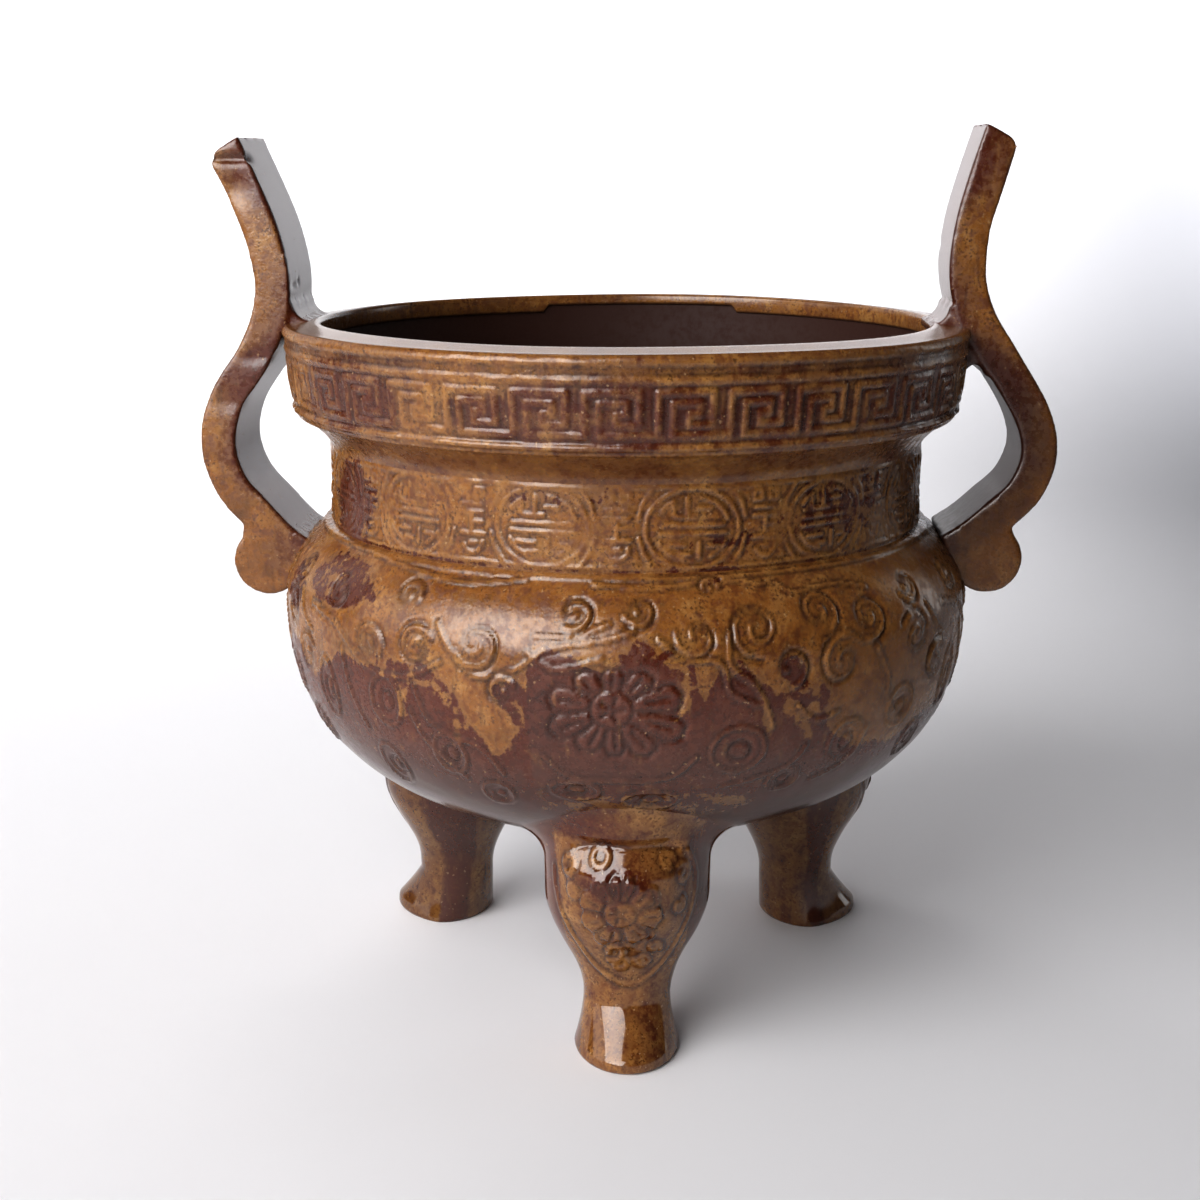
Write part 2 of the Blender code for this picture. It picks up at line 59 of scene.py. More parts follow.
Point = tuple[float, float]
Line = list[Point]
Place = tuple[float, float, float]

MATH = "ShaderNodeMath"
RANGE = "ShaderNodeMapRange"
NOISE = "ShaderNodeTexNoise"
VECTOR = "ShaderNodeVectorMath"
MIX = "ShaderNodeMix"
SMOOTH = {"interpolation_type": "SMOOTHSTEP"}
TIMES = {"operation": "MULTIPLY"}
TIMES_PLUS = {"operation": "MULTIPLY_ADD"}
COLOURS = {"data_type": "RGBA"}

log = logging.getLogger("incense_burner")


def linear(code: str) -> tuple[float, float, float, float]:
    """Turn an sRGB hex colour into linear RGBA.

    Args:
        code: Colour such as "#8f6234".

    Returns:
        The colour as Blender's sockets take it.
    """
    parts = [int(code[at:at + 2], 16) / 255 for at in (1, 3, 5)]
    flat = [part / 12.92 if part <= 0.04045 else ((part + 0.055) / 1.055) ** 2.4 for part in parts]
    return flat[0], flat[1], flat[2], 1.0


def add(tree: bpy.types.NodeTree, kind: str, inputs: Optional[dict[Any, Any]] = None, out: Any = 0,
        **settings: Any) -> Any:
    """Add a node with its settings, values and links.

    Args:
        tree: Node tree that gets the node.
        kind: Blender's name of the node type.
        inputs: Socket name or index to a value, or to an output socket to link.
        out: Name or index of the output that is wanted.
        settings: Properties of the node.

    Returns:
        The wanted output socket, or None where the node has none.
    """
    node = tree.nodes.new(kind)
    for name, value in settings.items():
        setattr(node, name, value)
    for socket, value in (inputs or {}).items():
        if isinstance(value, bpy.types.NodeSocket):
            tree.links.new(value, node.inputs[socket])
        else:
            node.inputs[socket].default_value = value
    return node.outputs[out] if len(node.outputs) else None


def blank_material(name: str) -> tuple[bpy.types.Material, bpy.types.NodeTree]:
    """Start a material with an empty node tree.

    Args:
        name: Name of the material.

    Returns:
        The material and its tree.
    """
    made = bpy.data.materials.new(name)
    made.use_nodes = True
    made.node_tree.nodes.clear()
    return made, made.node_tree


def place_object(name: str, data: bpy.types.ID) -> bpy.types.Object:
    """Put an object with this data into the scene.

    Args:
        name: Name of the object.
        data: Its mesh, light or camera.

    Returns:
        The new object.
    """
    made = bpy.data.objects.new(name, data)
    bpy.context.scene.collection.objects.link(made)
    return made


def settle(piece: bpy.types.Object) -> None:
    """Turn what a piece's modifiers make into its plain mesh.

    Args:
        piece: Object that loses its modifiers.
    """
    bpy.context.view_layer.update()
    depsgraph = bpy.context.evaluated_depsgraph_get()
    made = bpy.data.meshes.new_from_object(piece.evaluated_get(depsgraph))
    piece.modifiers.clear()
    plain = piece.data
    piece.data = made
    made.name = piece.name
    bpy.data.meshes.remove(plain)


def spun(points: np.ndarray, angle: float) -> np.ndarray:
    """Turn points about the burner's axis.

    Args:
        points: Points or directions, one row each.
        angle: Angle in radians, from +X towards +Y.

    Returns:
        The turned points.
    """
    moved = points.copy()
    moved[:, 0] = points[:, 0] * cos(angle) - points[:, 1] * sin(angle)
    moved[:, 1] = points[:, 0] * sin(angle) + points[:, 1] * cos(angle)
    return moved


def smooth_share(value: np.ndarray, low: float, high: float) -> np.ndarray:
    """Share from 0 to 1 that changes smoothly between two values.

    Args:
        value: Where the share is wanted.
        low: Value at which it is 0.
        high: Value at which it is 1, which may be the smaller one.

    Returns:
        The share at each value.
    """
    share = np.clip((value - low) / (high - low), 0.0, 1.0)
    return share * share * (3 - 2 * share)


def resample(points: Sequence[Point], step: float) -> np.ndarray:
    """Put even points along an open line.

    Args:
        points: Corners of the line.
        step: Distance between the new points, rounded so that both ends are kept.

    Returns:
        The points, one row each.
    """
    line = np.array(points, dtype=float)
    length = np.concatenate(([0.0], np.cumsum(np.hypot(*np.diff(line, axis=0).T))))
    count = max(1, round(length[-1] / step))
    at = np.linspace(0.0, length[-1], count + 1)
    return np.column_stack((np.interp(at, length, line[:, 0]), np.interp(at, length, line[:, 1])))


def segment_distance(u: np.ndarray, v: np.ndarray, line: Sequence[Point]) -> np.ndarray:
    """Distance from flat points to a line of straight stretches.

    Args:
        u: Across, in millimetres.
        v: Up, in millimetres.
        line: Corners of the line, or one point.

    Returns:
        The distance of each point.
    """
    nearest = np.full(u.shape, 1e6)
    corners = list(line) if len(line) > 1 else [line[0], line[0]]
    for (au, av), (bu, bv) in zip(corners, corners[1:]):
        du, dv = bu - au, bv - av
        span = max(du * du + dv * dv, 1e-9)
        share = np.clip(((u - au) * du + (v - av) * dv) / span, 0.0, 1.0)
        nearest = np.minimum(nearest, np.hypot(u - au - share * du, v - av - share * dv))
    return nearest


def ring(centre: Point, radius: float, high: float = 1.0, sides: int = 28) -> Line:
    """Closed round or oval line.

    Args:
        centre: Middle of the ring.
        radius: Half its width.
        high: Its height over its width.
        sides: Number of stretches.

    Returns:
        The line, with its first point again at the end.
    """
    turns = [2 * pi * step / sides for step in range(sides + 1)]
    return [(centre[0] + radius * cos(turn), centre[1] + radius * high * sin(turn)) for turn in turns]


def spiral(centre: Point, outer: float, inner: float, start: float, sweep: float) -> Line:
    """Curl that winds in from its outer end.

    Args:
        centre: Eye of the curl.
        outer: Radius at its outer end.
        inner: Radius at its inner end.
        start: Angle of the outer end in degrees.
        sweep: Angle that it turns through, negative for clockwise.

    Returns:
        The line from the outer end inwards.
    """
    steps = max(8, int(abs(sweep) / 15))
    line = []
    for step in range(steps + 1):
        share = step / steps
        turn = radians(start + sweep * share)
        reach = outer + (inner - outer) * share
        line.append((centre[0] + reach * cos(turn), centre[1] + reach * sin(turn)))
    return line


def bent(points: Sequence[Point], steps: int = 6) -> Line:
    """Smooth line through a few points.

    Args:
        points: Points that the line passes through.
        steps: Stretches between one point and the next.

    Returns:
        The smooth line.
    """
    knots = np.array([points[0], *points, points[-1]], dtype=float)
    line = []
    for a, b, c, d in zip(knots, knots[1:], knots[2:], knots[3:]):
        for step in range(steps):
            t = step / steps
            curve = (2 * a - 5 * b + 4 * c - d) * t * t + (3 * b - a - 3 * c + d) * t ** 3
            spot = 0.5 * (2 * b + (c - a) * t + curve)
            line.append((float(spot[0]), float(spot[1])))
    line.append((float(knots[-1][0]), float(knots[-1][1])))
    return line


@dataclass(frozen=True)
class BowlForm:
    """Sizes of the thrown bowl, which all its pieces share."""

    floor_clearance: float = 53.0
    belly_drop: float = 68.0
    belly_rise: float = 42.0
    belly_radius: float = 101.5
    fullness: float = 2.6
    waist_radius: float = 87.6
    waist_height: float = 23.0
    cove_height: float = 8.2
    collar_height: float = 25.6
    taper: float = 3.0
    rim_radius: float = 100.0
    wall: float = 7.5
    collar_wall: float = 7.0
    lip_width: float = 10.8
    lip_depth: float = 4.8

    @property
    def middle(self) -> float:
        """Height of the widest part of the belly."""
        return self.floor_clearance + self.belly_drop

    @property
    def shoulder(self) -> float:
        """Height of the crease between belly and waist."""
        return self.middle + self.belly_rise * sqrt(1 - (self.waist_radius / self.belly_radius) ** 2)

    @property
    def waist_top(self) -> float:
        """Height of the crease between waist and cove."""
        return self.shoulder + self.waist_height

    @property
    def collar_foot(self) -> float:
        """Height of the collar's lower edge."""
        return self.waist_top + self.cove_height

    @property
    def rim_top(self) -> float:
        """Height of the outer edge of the rim."""
        return self.collar_foot + self.collar_height

    def collar_radius(self, height: float) -> float:
        """Outer radius of the collar at a height."""
        return self.rim_radius - self.taper * ((self.rim_top - height) / self.collar_height) ** 1.5

    def belly_bottom(self, radius: np.ndarray) -> np.ndarray:
        """Height of the belly's underside at a radius."""
        share = np.clip(radius / self.belly_radius, 0.0, 1.0)
        return self.middle - self.belly_drop * (1 - share ** self.fullness) ** (1 / self.fullness)

    def belly_line(self, inset: float) -> Line:
        """Profile of the belly from the shoulder to the axis.

        Args:
            inset: How far inside the outer face, for the hollow.

        Returns:
            Radius and height of each point, outermost wall first.
        """
        radius = self.belly_radius - inset
        drop = self.belly_drop - inset
        rise = self.belly_rise - inset * 0.5
        waist = self.waist_radius - inset
        top = sqrt(1 - (waist / radius) ** 2)
        line = []
        for step in range(40):
            lift = top * (1 - step / 40)
            line.append((radius * sqrt(1 - lift * lift), self.middle + rise * lift))
        for step in range(181):
            turn = pi / 2 * step / 180
            reach = radius * cos(turn) ** (2 / self.fullness) if step < 180 else 0.0
            line.append((reach, self.middle - drop * sin(turn) ** (2 / self.fullness)))
        return line

    def by_hand(self, azimuth: np.ndarray, height: np.ndarray) -> tuple[np.ndarray, np.ndarray]:
        """Small unevenness that throwing and pressing leave, the same in every piece.

        Args:
            azimuth: Azimuth of each point in radians.
            height: Height of each point.

        Returns:
            How far each point stands out and up.
        """
        out = 0.22 * np.sin(2 * azimuth + 0.6) + 0.12 * np.sin(3 * azimuth + 1.9 + height * 0.03)
        out += 0.09 * np.sin(5 * azimuth - height * 0.05)
        near_rim = np.clip((height - self.waist_top) / 30, 0.0, 1.0)
        up = near_rim * (0.24 * np.sin(2 * azimuth + 2.1) + 0.12 * np.sin(5 * azimuth))
        return out, up


FORM = BowlForm()
# A pattern is repeated this many times more than fit round the burner, which leaves no gap at the back
SPARE = 3


@dataclass
class Skin:
    """Points, faces, flat place in the pattern and painted values of a piece before it is a mesh."""

    points: np.ndarray
    faces: list[tuple[int, ...]]
    across: np.ndarray
    up: np.ndarray
    values: dict[str, np.ndarray] = field(default_factory=dict)

    def to_object(self, name: str, crease: float = 50.0) -> bpy.types.Object:
        """Make a smooth-shaded object in metres.

        Args:
            name: Name of the piece.
            crease: Edges sharper than this many degrees stay sharp.

        Returns:
            The new object, linked to the scene.
        """
        mesh = bpy.data.meshes.new(name)
        mesh.from_pydata((self.points * MM).tolist(), [], facing_out(self.points, self.faces))
        mesh.polygons.foreach_set("use_smooth", np.ones(len(mesh.polygons), dtype=bool))
        mesh.set_sharp_from_angle(angle=radians(crease))
        flat = np.column_stack((self.across, self.up, np.zeros(len(self.up))))
        layer = mesh.attributes.new("flat", "FLOAT_VECTOR", "POINT")
        layer.data.foreach_set("vector", flat.astype(np.float32).ravel())
        for key, value in self.values.items():
            paint(mesh, key, value)
        return place_object(name, mesh)


def paint(mesh: bpy.types.Mesh, name: str, values: np.ndarray) -> None:
    """Store one number for each point of a mesh.

    Args:
        mesh: Mesh that gets the values.
        name: Name that the glaze reads them by.
        values: One value for each point.
    """
    layer = mesh.attributes.get(name) or mesh.attributes.new(name, "FLOAT", "POINT")
    layer.data.foreach_set("value", np.asarray(values, dtype=np.float32))


def turned(rows: Sequence[tuple[float, float, int]], crowd: float = 0.0) -> dict[str, Any]:
    """Turn a profile on the wheel, whose last row joins the first as in a ring.

    Neighbouring rows have the same number of columns, or one has twice as many as
    the other; a row on the axis has one point.

    Args:
        rows: Radius, height and number of columns of each row.
        crowd: How much closer the columns stand at the front than at the back, from 0.

    Returns:
        Points, faces, and the azimuth, radius, height and row of each point.
    """
    starts = np.concatenate(([0], np.cumsum([columns for _, _, columns in rows])))
    azimuth = np.concatenate([-pi + 2 * pi * np.arange(columns) / columns for _, _, columns in rows])
    azimuth = azimuth - crowd * np.sin(azimuth)
    radius = np.concatenate([np.full(columns, reach) for reach, _, columns in rows])
    height = np.concatenate([np.full(columns, up) for _, up, columns in rows])
    row = np.concatenate([np.full(columns, index) for index, (_, _, columns) in enumerate(rows)])
    faces: list[tuple[int, ...]] = []
    for here in range(len(rows)):
        there = (here + 1) % len(rows)
        a, b = int(starts[here]), int(starts[there])
        many, other = rows[here][2], rows[there][2]
        step = np.arange(max(many, other))
        after = (step + 1) % len(step)
        # The row with more columns comes first here, and its faces are wound back if it is the later one
        fine, coarse, way = (a, b, 1) if many >= other else (b, a, -1)
        if many == other:
            bands = [(a + step, a + after, b + after, b + step)]
        elif min(many, other) == 1:
            bands = [(fine + step, fine + after, np.full(len(step), coarse))]
        else:
            k = np.arange(min(many, other))
            k1 = coarse + (k + 1) % len(k)
            odd = fine + 2 * k + 1
            even = fine + (2 * k + 2) % len(step)
            bands = [(odd - 1, odd, coarse + k), (odd, k1, coarse + k), (odd, even, k1)]
        for band in bands:
            faces += np.column_stack(band[::way]).tolist()
    out, up = FORM.by_hand(azimuth, height)
    reach = np.where(radius > 0, radius + out * np.clip(radius / 40, 0, 1), 0.0)
    points = np.column_stack((reach * np.sin(azimuth), -reach * np.cos(azimuth), height + up))
    return {"points": points, "faces": faces, "azimuth": azimuth, "radius": radius, "height": height,
            "row": row}


def facing_out(points: np.ndarray, faces: list) -> list:
    """Turn all faces of a closed skin outwards.

    Args:
        points: Points of the skin.
        faces: Faces, all wound the same way.

    Returns:
        The faces, reversed where the skin was inside out.
    """
    total = 0.0
    for corners in (3, 4):
        some = np.array([face for face in faces if len(face) == corners], dtype=int)
        if len(some):
            a, b = points[some[:, 0]], points[some[:, 1]]
            for last in range(2, corners):
                c = points[some[:, last]]
                total += float(np.einsum("ij,ij->i", a, np.cross(b, c)).sum())
                b = c
    return faces if total > 0 else [face[::-1] for face in faces]


def line_object(name: str, lines: Sequence[Line]) -> bpy.types.Object:
    """Draw flat lines as edges of a helper object.

    Args:
        name: Name of the helper.
        lines: Lines in flat millimetres.

    Returns:
        The helper, hidden from the picture.
    """
    points: list[tuple[float, float, float]] = []
    edges: list[tuple[int, int]] = []
    for line in lines:
        first = len(points)
        points += [(u, v, 0.0) for u, v in line]
        edges += [(first + step, first + step + 1) for step in range(len(line) - 1)]
    mesh = bpy.data.meshes.new(name)
    mesh.from_pydata(points, edges, [])
    made = place_object(name, mesh)
    made.hide_render = True
    return made


@dataclass(frozen=True)
class Carving:
    """One pressed pattern: its lines, how they repeat and how they stand up.

    Ridges are narrow raised lines. Mounds are soft swells along their lines, or
    grooves where their relief is negative. The repeats run past the whole turn.
    """

    ridges: list[Line]
    mounds: list[Line]
    repeats: int
    pitch: float
    phase: float
    ridge_width: float
    ridge_relief: float
    mound_reach: float
    mound_relief: float
    wander: float = 0.35
    worn_to: float = 0.4

    def inputs(self) -> dict[str, float]:
        """Values for the carving tree's named inputs."""
        return {
            "Repeats": self.repeats,
            "Pitch": self.pitch,
            "Phase": self.phase,
            "Ridge Width": self.ridge_width,
            "Ridge Relief": self.ridge_relief * MM,
            "Mound Reach": self.mound_reach,
            "Mound Relief": self.mound_relief * MM,
            "Wander": self.wander,
            "Worn To": self.worn_to,
        }


class CarvingTree:
    """Geometry Nodes tree that raises or sinks repeated lines on a skin, as a mould does."""

    ENTRIES = (
        ("Geometry", "Geometry"), ("Ridges", "Object"), ("Mounds", "Object"), ("Material", "Material"),
        ("Repeats", "Int"),
    )
    SIZES = (
        ("Pitch", 20.0), ("Phase", 0.0), ("Ridge Width", 1.6), ("Ridge Relief", 0.0008), ("Mound Reach", 4.0),
        ("Mound Relief", 0.0005), ("Wander", 0.35), ("Worn To", 0.4),
    )
    # Grain of the shaky hand, of the wear and of the lumps in the clay, each per metre
    SHAKE = 260.0
    WEAR = 90.0
    LUMPS = 55.0
    # Height of a lump from its lowest to its highest point, in metres
    LUMP_HEIGHT = 0.0008
    # The glaze pools in a trough beside each ridge, this deep against the ridge's height
    TROUGH = -0.25

    def __init__(self) -> None:
        """Build the tree once; every carved piece uses it."""
        self.tree = bpy.data.node_groups.new("pressed_carving", "GeometryNodeTree")
        face = self.tree.interface
        for name, kind in self.ENTRIES:
            face.new_socket(name, in_out="INPUT", socket_type="NodeSocket" + kind)
        for name, value in self.SIZES:
            face.new_socket(name, in_out="INPUT", socket_type="NodeSocketFloat").default_value = value
        face.new_socket("Geometry", in_out="OUTPUT", socket_type="NodeSocketGeometry")
        self.build()

    def places(self, entry: Any) -> Any:
        """Row of points where the pattern repeats, with its phase in the middle.

        Args:
            entry: Outputs of the tree's group input.

        Returns:
            The row's socket.
        """
        tree = self.tree
        half = add(tree, MATH, {0: entry["Repeats"], 1: 2.0}, operation="DIVIDE")
        whole = add(tree, MATH, {0: half}, operation="FLOOR")
        back = add(tree, MATH, {0: whole, 1: entry["Pitch"]}, **TIMES)
        first = add(tree, MATH, {0: entry["Phase"], 1: back}, operation="SUBTRACT")
        start, step = (add(tree, "ShaderNodeCombineXYZ", {"X": size}) for size in (first, entry["Pitch"]))
        return add(tree, "GeometryNodeMeshLine",
                   {"Count": entry["Repeats"], "Start Location": start, "Offset": step})

    def distance(self, row: Any, helper: Any, spot: Any) -> Any:
        """Distance from a flat spot to the lines of a helper object, repeated along a row.

        Args:
            row: Points where the lines repeat.
            helper: Socket of the helper object.
            spot: Socket of the flat spot.

        Returns:
            The distance's socket.
        """
        tree = self.tree
        drawn = add(tree, "GeometryNodeObjectInfo", {"Object": helper}, "Geometry")
        placed = add(tree, "GeometryNodeInstanceOnPoints", {"Points": row, "Instance": drawn})
        lines = add(tree, "GeometryNodeRealizeInstances", {0: placed})
        return add(tree, "GeometryNodeProximity", {0: lines, "Sample Position": spot}, "Distance",
                   target_element="EDGES")

    def build(self) -> None:
        """Lay out the nodes."""
        tree = self.tree
        entry = add(tree, "NodeGroupInput").node.outputs
        flat = add(tree, "GeometryNodeInputNamedAttribute", {"Name": "flat"}, data_type="FLOAT_VECTOR")
        press = add(tree, "GeometryNodeInputNamedAttribute", {"Name": "press"}, data_type="FLOAT")
        here = add(tree, "GeometryNodeInputPosition")
        # The hand that cut the mould wandered, so each line does
        shaky = add(tree, NOISE, {"Vector": here, "Scale": self.SHAKE, "Detail": 1.0}, "Color")
        centred = add(tree, VECTOR, {0: shaky, 1: (0.5, 0.5, 0.5)}, operation="SUBTRACT")
        doubled = add(tree, MATH, {0: entry["Wander"], 1: 2.0}, **TIMES)
        drift = add(tree, VECTOR, {0: centred, "Scale": doubled}, operation="SCALE")
        level = add(tree, VECTOR, {0: drift, 1: (1.0, 1.0, 0.0)}, **TIMES)
        spot = add(tree, VECTOR, {0: flat, 1: level}, operation="ADD")
        row = self.places(entry)
        to_ridge, to_mound = (self.distance(row, entry[name], spot) for name in ("Ridges", "Mounds"))
        half = add(tree, MATH, {0: entry["Ridge Width"], 1: 0.5}, **TIMES)
        inner, outer, far = (add(tree, MATH, {0: half, 1: share}, **TIMES) for share in (0.3, 1.5, 3.6))
        # Ridges are worn and filled with glaze here and there
        worn = add(tree, NOISE, {"Vector": here, "Scale": self.WEAR, "Detail": 2.0})
        wear = add(tree, RANGE, {0: worn, 1: 0.38, 2: 0.6, 3: entry["Worn To"], 4: 1.0}, **SMOOTH)
        crest = add(tree, RANGE, {0: to_ridge, 1: inner, 2: outer, 3: 1.0, 4: 0.0}, **SMOOTH)
        pressed = add(tree, MATH, {0: wear, 1: press}, **TIMES)
        raised = add(tree, MATH, {0: crest, 1: pressed}, **TIMES)
        swell = add(tree, RANGE, {0: to_mound, 1: 0.0, 2: entry["Mound Reach"], 3: 1.0, 4: 0.0}, **SMOOTH)
        mound = add(tree, MATH, {0: swell, 1: pressed}, **TIMES)
        cut = add(tree, MATH, {0: entry["Mound Relief"], 1: 0.0}, operation="LESS_THAN")
        groove = add(tree, MATH, {0: mound, 1: cut}, **TIMES)
        rise = add(tree, RANGE, {0: to_ridge, 1: half, 2: outer}, **SMOOTH)
        fall = add(tree, RANGE, {0: to_ridge, 1: outer, 2: far, 3: 1.0, 4: 0.0}, **SMOOTH)
        beside = add(tree, MATH, {0: rise, 1: fall}, **TIMES)
        pool = add(tree, MATH, {0: beside, 1: pressed}, **TIMES)
        lumps = add(tree, NOISE, {"Vector": here, "Scale": self.LUMPS, "Detail": 2.0})
        lump = add(tree, MATH, {0: lumps, 1: self.LUMP_HEIGHT, 2: -self.LUMP_HEIGHT / 2}, **TIMES_PLUS)
        sunk = add(tree, MATH, {0: entry["Ridge Relief"], 1: self.TROUGH}, **TIMES)
        up = add(tree, MATH, {0: lump, 1: press}, **TIMES)
        for share, high in ((raised, entry["Ridge Relief"]), (mound, entry["Mound Relief"]), (pool, sunk)):
            up = add(tree, MATH, {0: share, 1: high, 2: up}, **TIMES_PLUS)
        normal = add(tree, "GeometryNodeInputNormal")
        push = add(tree, VECTOR, {0: normal, "Scale": up}, operation="SCALE")
        kept = add(tree, "GeometryNodeSetPosition", {"Geometry": entry["Geometry"], "Offset": push})
        dark = add(tree, MATH, {0: pool, 1: groove}, operation="MAXIMUM")
        for name, value in (("raised", raised), ("pool", dark)):
            kept = add(tree, "GeometryNodeStoreNamedAttribute",
                       {"Geometry": kept, "Name": name, "Value": value}, data_type="FLOAT", domain="POINT")
        real = add(tree, "GeometryNodeRealizeInstances", {0: kept})
        glazed = add(tree, "GeometryNodeSetMaterial", {"Geometry": real, "Material": entry["Material"]})
        add(tree, "NodeGroupOutput", {0: glazed})

    def carve(self, piece: bpy.types.Object, carving: Carving, glaze: bpy.types.Material) -> None:
        """Carve a piece and leave it as a plain mesh.

        Args:
            piece: Object whose mesh has the attributes flat and press.
            carving: Pattern to press into it.
            glaze: Material of the piece.
        """
        ridges = line_object(piece.name + "_ridges", carving.ridges)
        mounds = line_object(piece.name + "_mounds", carving.mounds)
        values = {**carving.inputs(), "Ridges": ridges, "Mounds": mounds, "Material": glaze}
        step = piece.modifiers.new("carving", "NODES")
        step.node_group = self.tree
        for socket in self.tree.interface.items_tree:
            if socket.in_out == "INPUT" and socket.name in values:
                step[socket.identifier] = values[socket.name]
        settle(piece)
        for helper in (ridges, mounds):
            bpy.data.objects.remove(helper)


@dataclass(frozen=True)
class IronGlaze:
    """Brown iron glaze on stoneware, dipped and fired twice, with grains in millimetres.

    The ochre coat ran down over a maroon one, broke into drips and speckles, thinned
    on the ridges and gathered dark beside them. It is glossy, with the orange-peel
    skin of a slightly underfired glaze, which breaks the window's reflection. Painted
    shade darkens it on the belly's underside, the back legs and the right handle.
    """

    ochre_dark: str = "#65401d"
    ochre: str = "#875828"
    ochre_light: str = "#a07745"
    russet: str = "#5c2c12"
    maroon_dark: str = "#33140b"
    maroon: str = "#5a2a18"
    maroon_light: str = "#71432e"
    hem: str = "#53210f"
    # Dark brown of glaze pooled beside the ridges, and of the painted shade
    pool_and_shade: str = "#2c140a"
    mauve: str = "#5a382d"
    # Dark brown of the bare inside; on the handles' inner faces it is also painted shade
    bare_and_shade: str = "#381d14"
    crystal: str = "#b79872"
    speck: float = 0.8
    grain: float = 1.9
    mottle: float = 4.6
    cloud: float = 24.0
    peel: float = 1.7
    pore: float = 0.62
    peel_depth: float = 0.2
    streak: float = 2.6
    streak_length: float = 0.14
    roughness: float = 0.27
    ior: float = 1.58

    def make(self) -> bpy.types.Material:
        """Build the material.

        Returns:
            The glaze, which reads the painted values of each piece.
        """
        made, tree = blank_material("iron_brown_glaze_dipped_stoneware")
        spot = add(tree, "ShaderNodeTexCoord", out="Object")
        # Noises from specks to clouds, each with its own grain in millimetres
        noises = []
        for seed, (size, detail, rough) in enumerate((
                (self.speck, 2.0, 0.5), (self.grain, 3.0, 0.6), (self.mottle, 4.0, 0.62),
                (self.cloud, 3.0, 0.5), (self.speck * 1.3, 1.0, 0.5), (self.mottle * 2.0, 4.0, 0.6),
                (self.peel, 1.0, 0.5), (self.pore, 1.0, 0.5))):
            noises.append(add(tree, NOISE, {"Vector": spot, "W": seed * 3.7, "Scale": 1 / (size * MM),
                                            "Detail": detail, "Roughness": rough}, noise_dimensions="4D"))
        fine, grain, blotch, cloud, crystals, stain, peel, pores = noises
        # One painted value is painted shade: darker glaze on the belly's underside, the back legs and the
        # right handle
        raised, pool, ochre, mauve, inside, soft, thick, glossy = (
            add(tree, "ShaderNodeAttribute", out="Fac", attribute_name=name)
            for name in ("raised", "pool", "ochre", "mauve", "inside", "soft", "thick", "glossy"))
        # Streaks: the glaze ran down, so its grain is drawn out along the height
        drawn_out = add(tree, "ShaderNodeMapping", {"Vector": spot, "Scale": (1.0, 1.0, self.streak_length)})
        streak = add(tree, NOISE, {"Vector": drawn_out, "Scale": 1 / (self.streak * MM), "Detail": 2.0})
        # Edge of the ochre coat: the painted distance, ragged by clouds, mottles and specks
        edge = add(tree, MATH, {0: ochre, 1: -8.1}, operation="ADD")
        for noise, weight in (
                (cloud, 3.0), (blotch, 5.2), (grain, 4.0), (fine, 2.0), (streak, 2.0), (pool, -0.7)):
            edge = add(tree, MATH, {0: noise, 1: weight, 2: edge}, **TIMES_PLUS)
        upper = add(tree, MATH, {0: soft, 1: 2.0, 2: 0.22}, **TIMES_PLUS)
        lower = add(tree, MATH, {0: upper, 1: -1.0}, **TIMES)
        coat = add(tree, RANGE, {0: edge, 1: lower, 2: upper}, **SMOOTH)
        bloom = add(tree, RANGE, {0: edge, 1: -9.0, 2: -2.0, 3: 1.0, 4: 0.0}, **SMOOTH)
        below = add(tree, RANGE, {0: edge, 1: -4.6, 2: -0.8}, **SMOOTH)
        above = add(tree, RANGE, {0: edge, 1: 0.7, 2: 0.1}, **SMOOTH)
        hem = add(tree, MATH, {0: below, 1: above}, **TIMES)
        lip = add(tree, RANGE, {0: edge, 1: 2.2, 2: 0.5}, **SMOOTH)
        bead = add(tree, MATH, {0: lip, 1: coat}, **TIMES)
        # Tone within each glaze
        tones = []
        for noise, stops in (
                (blotch, ((0.36, self.ochre_dark), (0.5, self.ochre), (0.66, self.ochre_light))),
                (grain, ((0.33, self.maroon_dark), (0.5, self.maroon), (0.7, self.maroon_light)))):
            half = add(tree, MATH, {0: noise, 1: 0.55}, **TIMES)
            both = add(tree, MATH, {0: cloud, 1: 0.45, 2: half}, **TIMES_PLUS)
            tone = add(tree, "ShaderNodeValToRGB", {0: both})
            self.stops(tone.node, *stops)
            tones.append(tone)
        ochre_tone, ground = tones
        mauve_share = add(tree, MATH, {0: mauve, 1: bloom}, **TIMES)
        ground = add(tree, MIX, {0: mauve_share, 6: ground, 7: linear(self.mauve)}, 2, **COLOURS)
        # Fine red-brown veins where the coat is thin: near its edge and in clouds
        shallow = add(tree, RANGE, {0: edge, 1: 3.2, 2: 0.6, 3: 0.0, 4: 0.1}, **SMOOTH)
        veined = shallow
        for noise, weight in ((grain, 0.75), (stain, 0.35), (fine, 0.3)):
            veined = add(tree, MATH, {0: noise, 1: weight, 2: veined}, **TIMES_PLUS)
        stained = add(tree, RANGE, {0: veined, 1: 0.71, 2: 0.84, 3: 0.0, 4: 0.65}, **SMOOTH)
        crumb = add(tree, RANGE, {0: fine, 1: 0.55, 2: 0.63}, **SMOOTH)
        crumbs = add(tree, MATH, {0: crumb, 1: below}, **TIMES)
        over = add(tree, MIX, {0: stained, 6: ochre_tone, 7: linear(self.russet)}, 2, **COLOURS)
        colour = add(tree, MIX, {0: coat, 6: ground, 7: over}, 2, **COLOURS)
